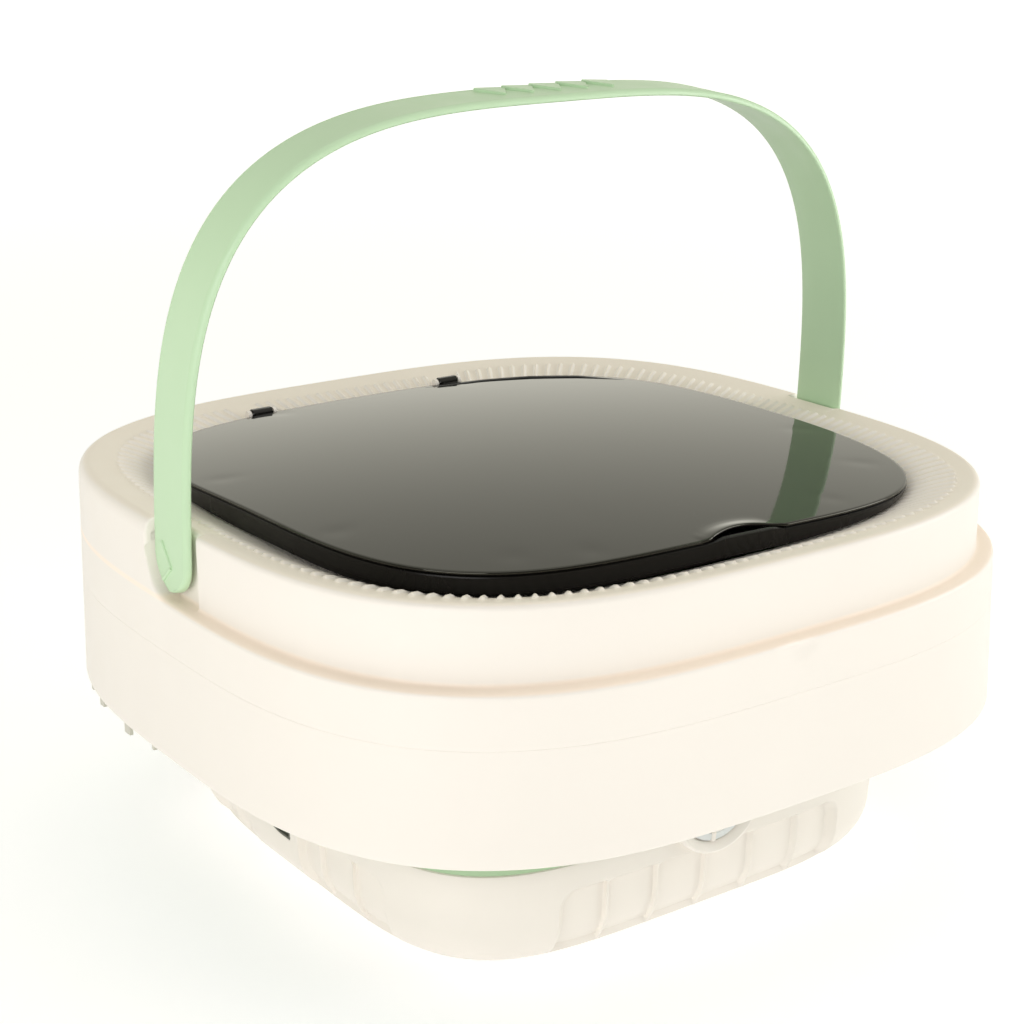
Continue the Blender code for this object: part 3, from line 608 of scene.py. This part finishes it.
def top_cover():
    """Ribbed deck on a fine grid, with rim, walls and inside on a coarser one that it runs into."""
    step = TURN / RIBS
    inner_halves = (MOUTH_HALF, MOUTH_HALF, 144.0, 146, 149, 152, 155, 158, 161)
    tip_steps = (-2.9, -2.1, -1.5, -1.0, -0.6, -0.2, 0.2, 0.6, 1.1)
    points, fine, coarse = [], [], []
    for angle, is_coarse in cover_angles(step):
        share = angle / step % 1
        reach = math.hypot(*plan_point(160, BODY_POWER, angle))
        fine.append(len(points))
        tip = rib_tip(angle)
        for j, half in enumerate([*inner_halves, *[tip + more for more in tip_steps]]):
            z = 17.0 if j == 0 else deck_height(half) - (0.5 if j == 1 else 0)
            if j > 2:
                z += rib_height(share, tip - half, reach * step) * clear_of_hinge(angle)
            points.append(cover_warp(*plan_point(half, BODY_POWER, angle), LEDGE + z))
        if is_coarse:
            x, y = plan_point(BODY_HALF, BODY_POWER, angle)
            on_side = abs(x) > abs(y)
            wall = pocket_at(y if on_side else math.copysign(BODY_HALF, y))
            side, rim = cover_side(*wall)
            first = [(tip + 2.4, deck_height(tip + 2.4))]
            coarse.append((len(fine) - 1, len(points)))
            for half, z in first + rim + side:
                spot = (*plan_point(half, BODY_POWER, angle), LEDGE + z)
                points.append(cover_warp(*(finger_scoop(*spot) if half > 182.5 else spot)))
    count = len(first + rim + side)
    rows = len(inner_halves) + len(tip_steps)
    faces = []
    for i, here in enumerate(fine):
        after = fine[(i + 1) % len(fine)]
        for j in range(rows - 1):
            faces.append((here + j, here + j + 1, after + j + 1, after + j))
    for i, (at, here) in enumerate(coarse):
        end, after = coarse[(i + 1) % len(coarse)]
        for j in range(count - 1):
            faces.append((here + j, here + j + 1, after + j + 1, after + j))
        between = list(range(at, end + 1)) if end >= at else list(range(at, len(fine))) + list(range(end + 1))
        faces.append([fine[k] + rows - 1 for k in between] + [after, here])
        faces.append([fine[k] for k in between] + [after + count - 1, here + count - 1])
    mesh = mesh_from("top_cover_shell", points, faces)
    show("top_cover_shell", mesh, "cream_plastic", "upper", ("top_cover",), cover_cream_painted_shade(), sharp=75)


def lower_skirt():
    low = SKIRT_LOW
    outer = [(shell_half(SEAM) - 0.05, SEAM - 0.02), (shell_half(SEAM), SEAM - 0.1)]
    outer += [(shell_half(z), z) for z in (SEAM - 0.6, -30, -38, -46, -54, -62, low + 1.6)]
    edge = ((0.15, 0.7), (0.6, 0.15), (1.2, 0), (1.9, 0.2), (WALL, 0.9))
    outer += [(shell_half(low) - inset, low + rise) for inset, rise in edge]
    outer += [(shell_half(low) - WALL, -60), (shell_half(SEAM) - WALL, SEAM - 0.05)]
    mesh = sweep("skirt_shell", outer, BODY_POWER, 480)
    show("skirt_shell", mesh, "cream_plastic", "upper", ("lower_skirt",))


# ------------------------------------------------------------------ lid

def lid_rise(x, y):
    """Height of the lid's edge line here: a thin moulding, crowned, and sitting a little askew."""
    u, v = x / BODY_HALF, y / BODY_HALF
    return BODY_HALF * (0.198 - 0.0147 * u - 0.0167 * v + 0.0136 * u * v - 0.0347 * u * u - 0.0516 * v * v)


def lid_half(x, y):
    return (abs(x) ** LID_POWER + abs(y) ** LID_POWER) ** (1 / LID_POWER)


def notch_depth(x):
    """How far the thumb notch cuts in from the lid's edge, in millimetres."""
    share = (x - NOTCH_X) / NOTCH_REACH
    if abs(share) >= 1:
        return 0.0
    return 5.0 * math.cos(share * math.pi / 2) ** 0.8


def lid_top(x, y):
    """Height of the smoked sheet above its edge line: the scoop by the notch, and faint sink marks."""
    drop = 0.0
    half = lid_half(x, y)
    if y < 0 and abs(y) > abs(x):
        inside = LID_HALF - notch_depth(x) - half
        share = (x - NOTCH_X + 5) / NOTCH_REACH
        if abs(share) < 1 and inside > -1:
            drop -= 1.5 * smooth(9.0, 0.0, inside) * math.cos(share * math.pi / 2)
    for sink_x, sink_y, deep in SINKS:
        away = math.hypot(x - sink_x, y - sink_y)
        drop += deep * math.exp(-(away / 6.0) ** 2)
    return -drop


def lid():
    """Black skirt and the smoked sheet that lies over it, both following the askew edge line."""
    rows = []
    for angle in equal_angles(LID_HALF, LID_POWER, 960):
        x, y = plan_point(LID_HALF, LID_POWER, angle)
        edge = lid_rise(x, y)
        clear = deck_height(lid_deck_half(x, y)) + 1.4
        low = max(edge - 9.2, clear)
        flange = max(low - 2.6, clear - 0.3)
        cut = notch_depth(x) if y < 0 else 0.0
        share = smooth(0, 3.5, cut)
        bulge, lift = 0.6 * share, 1.2 * share
        profile = [(143.0, flange), (144.6, flange), (145.3, low + 0.1), (145.8, low), (146.2, low + 0.25),
                   (146.45 + bulge * 0.3, low + 1.4), (146.6 + bulge, blend_numbers(low, edge, 0.55)),
                   (146.75 + bulge, edge - 3.0 + lift), (146.9 + bulge, edge - 2.55 + lift),
                   (146.8 + bulge, edge - 2.0 + lift), (146.3 + bulge * 0.6, edge - 1.65 + lift),
                   (145.9 - share * 0.6, edge - 1.65 + lift), (145.1 - cut * 0.7, edge - 1.7 - share * 1.2),
                   (143.0 - cut, edge - 1.7 - share * 1.2)]
        rows.append([(*plan_point(h, LID_POWER, angle), LEDGE + z) for h, z in profile])
    show("lid_rim", mesh_from("lid_rim", *skin(rows), LID_SHIFT), "black_plastic", "lid", ("lid_frame",),
         SKIRT_BLACK)
    shares = [0.03, 0.10, 0.18, 0.27, 0.36, 0.45, 0.54, 0.62, 0.70, 0.77, 0.83, 0.87, 0.90, 0.925, 0.945]
    shares += [0.96, 0.972, 0.982, 0.99, 0.996]
    rows = []
    for angle in equal_angles(LID_HALF, LID_POWER, 960):
        x, y = plan_point(LID_HALF, LID_POWER, angle)
        reach = LID_HALF - (notch_depth(x) if y < 0 else 0.0)
        row = []
        for share in shares:
            px, py = plan_point(reach * share, LID_POWER, angle)
            row.append((px, py, LEDGE + lid_rise(px, py) + lid_top(px, py)))
        for inset, fall in ((0.2, 0.12), (0.0, 0.45), (0.05, 0.95), (0.35, 1.35), (1.4, 1.5)):
            px, py = plan_point(reach - inset, LID_POWER, angle)
            row.append((px, py, LEDGE + lid_rise(px, py) + lid_top(px, py) - fall))
        for share in (0.94, 0.7, 0.35, 0.03):
            px, py = plan_point(reach * share, LID_POWER, angle)
            row.append((px, py, LEDGE + lid_rise(px, py) - 2.6))
        rows.append(row)
    mesh = mesh_from("lid_sheet", *skin(rows, ring=False, caps=True), LID_SHIFT)
    show("lid_sheet", mesh, "smoked_window", "lid", ("lid_window",), sharp=60)


def lid_deck_half(x, y):
    return (abs(x) ** BODY_POWER + abs(y) ** BODY_POWER) ** (1 / BODY_POWER)


def hinges():
    """A cream pin between two cheeks on the deck, and a black clip of the lid that turns on it."""
    side_on = Matrix.Rotation(math.radians(90), 3, "Y")
    for side, x in (("left", -HINGE_X), ("right", HINGE_X)):
        place = (x, HINGE_Y, LEDGE + HINGE_Z)
        pin = [(0, -7.6), (1.3, -7.6), (1.6, -7.3), (1.6, 7.3), (1.3, 7.6), (0, 7.6)]
        show(f"lid_pivot_{side}", turned(f"lid_pivot_{side}", pin, place, side_on, 40, ring=False),
             "cream_plastic", "upper", (f"hinge_pin_{side}",))
        show(f"lid_cheeks_{side}", cheeks(f"lid_cheeks_{side}", x), "cream_plastic", "upper",
             (f"hinge_bracket_{side}",))
        show(f"lid_snap_{side}", snap_clip(f"lid_snap_{side}", place), "black_plastic", "lid",
             (f"lid_clip_{side}",))


def cheeks(name, x):
    """Two rounded ears that stand on the deck behind the lid."""
    shapes = []
    for sign in (-1, 1):
        near, far = sorted((x + sign * 6.2, x + sign * 7.9))
        outline = []
        for step in range(19):
            a = math.radians(180 - step * 10)
            outline.append((HINGE_Y + 2.2 * math.cos(a), HINGE_Z + 2.2 * math.sin(a)))
        outline += [(HINGE_Y + 2.6, HINGE_Z - 1.5), (HINGE_Y + 3.4, 23.0)]
        outline += [(HINGE_Y - 2.2, 21.6), (HINGE_Y - 2.2, HINGE_Z)]
        size = len(outline)
        points = [(near, y, LEDGE + z) for y, z in outline] + [(far, y, LEDGE + z) for y, z in outline]
        faces = [tuple(range(size)), tuple(range(size, 2 * size))]
        faces += [(i, (i + 1) % size, size + (i + 1) % size, size + i) for i in range(size)]
        shapes.append((points, faces))
    return mesh_from(name, *join(*shapes))


def snap_clip(name, place):
    """C-shaped clip with flats outside, open at the bottom, and the web that ties it to the lid."""
    section = []
    for step in range(29):
        a = math.radians(-50 + step * 10)
        turned_by = (math.degrees(a) + 22.5) % 45 - 22.5
        flat = 2.6 / math.cos(math.radians(turned_by))
        section.append((flat * math.cos(a), flat * math.sin(a)))
    for step in range(28, -1, -1):
        a = math.radians(-50 + step * 10)
        section.append((1.75 * math.cos(a), 1.75 * math.sin(a)))
    rows = []
    for x, pull in ((-5.6, 0.9), (-5.3, 1.0), (5.3, 1.0), (5.6, 0.9)):
        rows.append([(place[0] + x, place[1] + y * pull, place[2] + z * pull) for y, z in section])
    clip = skin(rows, ring=True, caps=False, around=False)
    size = len(section)
    half = size // 2
    for row in (0, 3):
        for i in range(half - 1):
            first, last = row * size + i, row * size + size - 1 - i
            clip[1].append((first, first + 1, last - 1, last))
    web = [(-4.6, -6.2), (4.6, -6.2), (4.6, -1.9), (-4.6, -1.9)]
    block = prism([(place[0] + x, place[1] + y) for x, y in web], place[2] - 2.0, place[2] + 0.4, 0.3)
    return mesh_from(name, *join(clip, block))


# ------------------------------------------------------------------ strap

def strap_line():
    """Centre line of the upright strap in its own plane: (x, height, half width, outward x, outward z)."""
    half, rise = STRAP_HALF - STRAP_THICK / 2, STRAP_RISE - STRAP_THICK / 2
    wide = STRAP_WIDTH / 2
    right = []
    for degrees in (88, 84, 78, 70, 62, 54, 46, 38, 30, 22, 14, 6, 0):
        a = math.radians(degrees)
        right.append((half, STRAP_FOOT - wide * math.sin(a), wide * math.cos(a)))
    for tenths in range(55, 900, 12):
        a = math.radians(tenths / 10)
        x, z = plan_point(1.0, STRAP_POWER, a)
        if STRAP_START + rise * z > STRAP_FOOT + 3:
            right.append((half * x, STRAP_START + rise * z, wide))
    return right + [(0.0, STRAP_START + rise, wide)] + [(-x, z, w) for x, z, w in reversed(right)]


def strap_place():
    """Leans the strap's own plane forward about the line where its arch begins."""
    lean = Matrix.Rotation(STRAP_LEAN, 4, "X")
    up = Matrix.Translation((0, 0, (LEDGE + STRAP_START) * MM))
    return up @ lean @ Matrix.Translation((0, 0, -STRAP_START * MM))


def outward(line, i):
    before, after = line[max(i - 1, 0)], line[min(i + 1, len(line) - 1)]
    run = Vector((after[0] - before[0], after[1] - before[1])).normalized()
    return run.y, -run.x


def carry_strap():
    line = strap_line()
    t = STRAP_THICK / 2
    rows = []
    for i, (x, z, wide) in enumerate(line):
        ox, oz = outward(line, i)
        deep = STRAP_THICK + min(0.1, wide * 0.3) - t
        soft = min(3.0, wide * 0.6)
        side = []
        for a in (0, 18, 36, 54, 72, 90):
            turn = math.radians(a)
            side.append((t - soft * 0.85 * (1 - math.cos(turn)), wide - soft + soft * math.sin(turn)))
        side += [(-deep + 0.7, wide), (-deep + 0.2, wide - min(0.2, wide * 0.1))]
        side += [(-deep, wide - min(0.8, wide * 0.3))]
        flat = [(t, 0.0), (t - 0.06, wide * 0.3), (t - 0.12, wide * 0.6), (t - 0.06, wide - soft - 0.02)]
        half_section = flat + side + [(-deep + 0.05, wide * 0.4)]
        other = [(u, -v) for u, v in reversed(half_section[1:])]
        rows.append([(x + ox * u, v, z + oz * u) for u, v in half_section + [(-deep + 0.08, 0.0)] + other])
    points, faces = skin(rows, ring=True, around=False)
    size = len(rows[0])
    faces += [tuple(range(size)), tuple(range(len(points) - size, len(points)))]
    mesh = mesh_from("strap_band", points, faces, strap_place())
    show("strap_band", mesh, "green_plastic", "strap", ("carry_strap",), sharp=60)


def strap_grip():
    """Five raised shark-tooth pads on the top of the strap."""
    line = strap_line()
    tops = [(x, z) for x, z, _ in line if abs(x) < 90]

    def height(x):
        spot = min(range(len(tops) - 1), key=lambda i: abs((tops[i][0] + tops[i + 1][0]) / 2 - x))
        (xa, za), (xb, zb) = tops[spot], tops[spot + 1]
        return za + (zb - za) * (x - xa) / (xb - xa) + STRAP_THICK / 2

    pitch = 14.35
    shapes = []
    for k in range(5):
        start = -23.6 - 5.8 + k * pitch
        outline = [(0, 10.0), (0, 6.5), (5.8, -5.0), (6.5, -5.0), (pitch - 0.3, 6.5), (pitch - 0.3, 10.0)]
        size = len(outline)
        points = []
        for level, pull in ((-0.6, 0.0), (0.75, 0.0), (1.0, 0.35)):
            for x, y in outline:
                mid_x, mid_y = 6.5, 4.0
                px, py = x + (mid_x - x) * pull * 0.09, y + (mid_y - y) * pull * 0.09
                lift = level * (1.3 - 0.7 * px / pitch) if level > 0 else level
                points.append((start + px, py, height(start + px) + lift))
        faces = [tuple(range(size)), tuple(range(2 * size, 3 * size))]
        for r in (0, 1):
            for i in range(size):
                n = (i + 1) % size
                faces.append((r * size + i, r * size + n, (r + 1) * size + n, (r + 1) * size + i))
        shapes.append((points, faces))
    mesh = mesh_from("strap_grip_teeth", *join(*shapes), strap_place())
    show("strap_grip_teeth", mesh, "green_plastic", "strap", sharp=25)


def strap_chevrons():
    """A raised chevron on the outer face of each foot."""
    face = STRAP_HALF - 0.22
    middle_y, middle_z = 6.6, 14.6
    corners = [(0, 9.0), (-8.2, -0.2), (-0.8, -7.6)]
    shapes = []
    for sign in (-1, 1):
        for (ya, za), (yb, zb) in zip(corners, corners[1:]):
            run = Vector((yb - ya, zb - za)).normalized()
            off = Vector((-run.y, run.x))
            points = []
            for y, z in ((ya, za), (yb, zb)):
                for w, u in ((-1.0, -0.5), (-0.8, 0.6), (-0.35, 0.95), (0.35, 0.95), (0.8, 0.6), (1.0, -0.5)):
                    points.append((sign * (face + u), middle_y + y + off.x * w, middle_z + z + off.y * w))
            faces = [tuple(range(6)), tuple(range(6, 12))]
            faces += [(j, (j + 1) % 6, 6 + (j + 1) % 6, 6 + j) for j in range(6)]
            shapes.append((points, faces))
    mesh = mesh_from("strap_foot_chevrons", *join(*shapes), strap_place())
    show("strap_foot_chevrons", mesh, "green_plastic", "strap")


# ------------------------------------------------------------------ base

GRIP_SPAN = 78.0
GRIP_TOP = 37.8
GRIP_DEPTH = 4.0
GRIP_RIB_PITCH = 27.0


def base_half(z):
    """Half size of the base at this height above the floor."""
    if z >= 25:
        return blend_numbers(132.5, BASE_HALF, (z - 25) / (BASE_TOP - 25))
    t = max((z - BASE_LOW) / (25 - BASE_LOW), 0)
    return 113 + 19.5 * math.sqrt(1 - (1 - t) ** 2) ** 0.8


def grip_share(along, z, centre, span):
    """How far the hand grip is set in here, 0 to 1, with rounded upper corners and upright ribs."""
    corner = 9.0
    dx = abs(along - centre) - (span - corner)
    dz = z - (GRIP_TOP - corner)
    outside = math.hypot(max(dx, 0), max(dz, 0)) + min(max(dx, dz), 0) - corner
    inside = smooth(0, 2.2, -outside) * smooth(5.4, 8.8, z)
    rib = 0.0
    for k in (-2, -1, 0, 1, 2):
        rib = max(rib, 1 - smooth(0.5, 1.7, abs(along - k * GRIP_RIB_PITCH)))
    return inside * (1 - 0.55 * rib)


def base_skin_half(x, y, z):
    """Half size of the base's outer skin in the direction of x, y, with the grips set in."""
    plain = base_half(z)
    if abs(y) > abs(x):
        if y > 0:
            return plain
        share = grip_share(x, z, 0, GRIP_SPAN)
    elif x > 0:
        share = grip_share(y, z, 0, GRIP_SPAN)
    else:
        share = max(grip_share(y, z, -44, 34), grip_share(y, z, 56, 22))
    return plain - GRIP_DEPTH * share


def base_housing():
    levels = [BASE_LOW, 3.1, 3.7, 4.6, 5.8, 7.2, 8.8, 10.4, 12, 13.6, 15.2, 17, 19, 21, 23, 25]
    levels += [27, 29, 31, 32.5, 33.5, 34.5, 35.3, 36, 36.6, 37.2, 37.9, 39, 41, 44, BASE_TOP - 1.2]
    rows = []
    for angle in equal_angles(BASE_HALF, BASE_POWER, 1280):
        row = [(*plan_point(half, BASE_POWER, angle), BASE_LOW) for half in (96, 110)]
        for z in levels:
            at = plan_point(base_half(z), BASE_POWER, angle)
            row.append((*plan_point(base_skin_half(*at, z), BASE_POWER, angle), z))
        top = base_half(BASE_TOP)
        row += [(*plan_point(top - 0.3, BASE_POWER, angle), BASE_TOP - 0.35)]
        row += [(*plan_point(top - 1.0, BASE_POWER, angle), BASE_TOP)]
        row += [(*plan_point(top - 2.5, BASE_POWER, angle), BASE_TOP)]
        row += [(*plan_point(125.5, BASE_POWER, angle), z) for z in (44, 16)]
        row += [(*plan_point(108, BASE_POWER, angle), 5.3), (*plan_point(96, BASE_POWER, angle), 5.3)]
        rows.append(row)
    mesh = mesh_from("base_tub", *skin(rows))
    tub = show("base_tub", mesh, "cream_plastic", "base", ("base_housing",), BASE_FINISH, sharp=40)
    cut_openings(tub)


def cut_openings(tub):
    """The drain port in the left wall and the round power inlet in the back wall."""
    outline = [(-4, 44), (-4, 26.2), (-3.2, 25.6)]
    outline += [(4 + 21 * math.sin(a), 44 - 18.4 * math.cos(a)) for a in QUARTER]
    size = len(outline)
    points = [(-150, y, z) for y, z in outline] + [(-118, y, z) for y, z in outline]
    faces = [tuple(range(size)), tuple(range(size, 2 * size))]
    faces += [(i, (i + 1) % size, size + (i + 1) % size, size + i) for i in range(size)]
    round_hole = []
    for y in (110, 150):
        angles = [TURN * i / 40 for i in range(40)]
        round_hole.append([(6.9 * math.cos(a), y, 27 + 6.9 * math.sin(a)) for a in angles])
    hole_points, hole_faces = skin(round_hole, ring=True, around=False)
    hole_faces += [tuple(range(40)), tuple(range(40, 80))]
    cutter_mesh = mesh_from("openings", *join((points, faces), (hole_points, hole_faces)))
    cutter = bpy.data.objects.new("openings", cutter_mesh)
    scene.collection.objects.link(cutter)
    cut = tub.modifiers.new("openings", "BOOLEAN")
    cut.object = cutter
    bpy.context.view_layer.update()
    done = bpy.data.meshes.new_from_object(tub.evaluated_get(bpy.context.evaluated_depsgraph_get()))
    tub.modifiers.clear()
    tub.data = done
    done.set_sharp_from_angle(angle=math.radians(40))
    bpy.data.objects.remove(cutter)


def button():
    """Dished boss with the power button and the ring that lights up round it."""
    face_on = Matrix.Rotation(math.radians(90), 3, "X")
    place = (0, -BASE_HALF - 0.2, BUTTON_Z)
    boss = [(0, 0.4), (14.5, 0.4), (14.6, 0.9), (18.9, 0.9), (18.9, 2.2), (19.3, 2.9), (20.6, 3.9),
            (21.8, 4.7), (22.6, 4.9), (23.4, 4.5), (24.0, 3.4), (24.0, -1.2), (0, -1.2)]
    show("button_boss", turned("button_boss", boss, place, face_on, 128, ring=False), "cream_plastic", "base",
         ("control_boss",))
    ring = [(14.9, 1.0), (14.9, 3.0), (15.3, 3.4), (17.9, 3.4), (18.4, 2.9), (18.4, 1.0)]
    show("light_diffuser", turned("light_diffuser", ring, place, face_on, 128), "white_plastic", "base",
         ("light_ring",), LIGHT_RING)
    key = [(0, 4.3), (7, 4.5), (12, 4.8), (13.6, 4.7), (14.3, 4.1), (14.4, 3.2), (14.4, 1.9), (0, 1.9)]
    show("power_key", turned("power_key", key, place, face_on, 128, ring=False), "cream_plastic", "button",
         ("power_button",))
    bridges = []
    for degrees in (-97, 23, 143):
        a = math.radians(degrees)
        c, s = math.cos(a), math.sin(a)
        corners = [(14.6, -1.1), (18.7, -1.1), (18.7, 1.1), (14.6, 1.1)]
        plan = [(r * c - w * s, r * s + w * c) for r, w in corners]
        bridges.append(prism(plan, 1.0, 3.75, 0.25))
    matrix = Matrix.Translation([c * MM for c in place]) @ face_on.to_4x4()
    show("ring_bridges", mesh_from("ring_bridges", *join(*bridges), matrix), "cream_plastic", "base")


def bucket():
    """Soft folding wall: a fixed ring of pleats between the base and the cover."""
    pleats = [(132.0, 48.9), (131.9, 52.0), (131.2, 55.4), (126, 57.6), (117, 59.2), (114.4, 60.6),
              (115.5, 62.4), (123, 65.4), (129.4, 68.4), (130.6, 70.4), (129.2, 72.4), (122, 75.2),
              (115.6, 78.2), (114.3, 80.2), (115.8, 82.2), (122, 85.2), (129.2, 88.2), (130.4, 90.4),
              (129.2, 92.6), (126, 96), (124.4, 99.4), (126.5, 101.8), (136, 104.6), (142.6, 107.2),
              (144.3, 110), (144.3, 121.5)]
    skin_half = 0.8
    outer = [(h + skin_half, z) for h, z in pleats]
    inner = [(h - skin_half, z) for h, z in reversed(pleats)]
    rows = []
    for i in range(240):
        angle = TURN * i / 240
        row = []
        for half, z in outer + inner:
            up = min(max((z - 48.9) / 58.0, 0), 1)
            row.append((*plan_point(half, blend_numbers(BASE_POWER, BODY_POWER, up), angle), z))
        rows.append(row)
    mesh = mesh_from("bucket_wall", *skin(rows))
    return show("bucket_wall", mesh, "green_rubber", None, ("folding_bucket",), sharp=70)


def bend_bucket(wall):
    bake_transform(wall)


def ports():
    """Dark liner of the drain port, with its plug, and the coaxial power socket at the back."""
    outline = [(-4, 43.8), (-4, 26.4), (-3.2, 25.8)]
    outline += [(4 + 20.8 * math.sin(a), 44 - 18.2 * math.cos(a)) for a in QUARTER]
    outline[-1] = (outline[-1][0], 43.8)

    def scaled(pull):
        return [(9.5 + (y - 9.5) * pull, 35.5 + (z - 35.5) * pull) for y, z in outline]

    rings = [(-132.6, 0.985), (-132.6, 0.90), (-121.5, 0.88), (-120.0, 0.985)]
    rows = [[(x, y, z) for y, z in scaled(pull)] for x, pull in rings]
    points, faces = skin(rows, ring=True, around=True)
    liner = mesh_from("port_liner", points, faces)
    back = skin([[(x, y, z) for y, z in scaled(0.9)] for x in (-121.4, -120.2)], ring=True, around=False)
    size = len(outline)
    back[1].extend([tuple(range(size)), tuple(range(size, 2 * size))])
    liner = mesh_from("port_liner", *join((points, faces), back))
    show("port_liner", liner, "black_plastic", "base", ("port_housing",), PORT_GREY)
    turn = Matrix.Rotation(math.radians(-90), 3, "Y")
    plug = [(0, 132.4), (2.6, 132.4), (3.1, 131.9), (3.2, 130.9), (6.6, 130.8), (7.0, 130.4), (7.0, 129.6),
            (6.7, 129.3), (4.7, 129.3), (4.5, 128.0), (4.8, 127.4), (4.4, 126.8), (4.4, 121.2), (0, 121.2)]
    mesh = turned("drain_stopper", plug, (0, 11, 35), turn, 64, ring=False)
    show("drain_stopper", mesh, "black_rubber", "plug", ("drain_plug",))
    to_back = Matrix.Rotation(math.radians(-90), 3, "X")
    socket = [(0, 132.4), (0.7, 132.4), (1, 132), (1, 126), (3, 126), (3, 134.1), (3.4, 134.5), (7.9, 134.5),
              (8.4, 134.1), (8.5, 133.9), (6.5, 133.9), (6.5, 118), (0, 118)]
    mesh = turned("power_socket", socket, (0, 0, 27), to_back, 72, ring=False)
    show("power_socket", mesh, "black_plastic", "base", ("power_inlet",))


def skirt_tabs():
    """Short moulded tabs on the inside of the skirt's lower edge, by the left rear corner."""
    shapes = []
    for y, wide, drop in ((96, 1.0, 2.8), (77, 2.0, 3.4), (44, 2.6, 4.4), (17, 1.0, 2.0)):
        reach = shell_half(SKIRT_LOW) - 1.0
        x = -((reach ** BODY_POWER - abs(y) ** BODY_POWER) ** (1 / BODY_POWER))
        outline = [(x - 0.2, y - wide), (x + 1.5, y - wide), (x + 1.5, y + wide), (x - 0.2, y + wide)]
        shapes.append(prism(outline, LEDGE + SKIRT_LOW - drop, LEDGE + SKIRT_LOW + 8))
    # The tabs take a darker cream: painted shade, as they hang in the skirt's shadow.
    show("skirt_tabs", mesh_from("skirt_tabs", *join(*shapes)), "cream_plastic", "upper", (), TAB_SHADE_FINISH)


add_camera()
add_studio()
finish_carried_nodes()
top_cover()
lower_skirt()
skirt_tabs()
lid()
hinges()
carry_strap()
strap_grip()
strap_chevrons()
base_housing()
button()
ports()
bend_bucket(bucket())
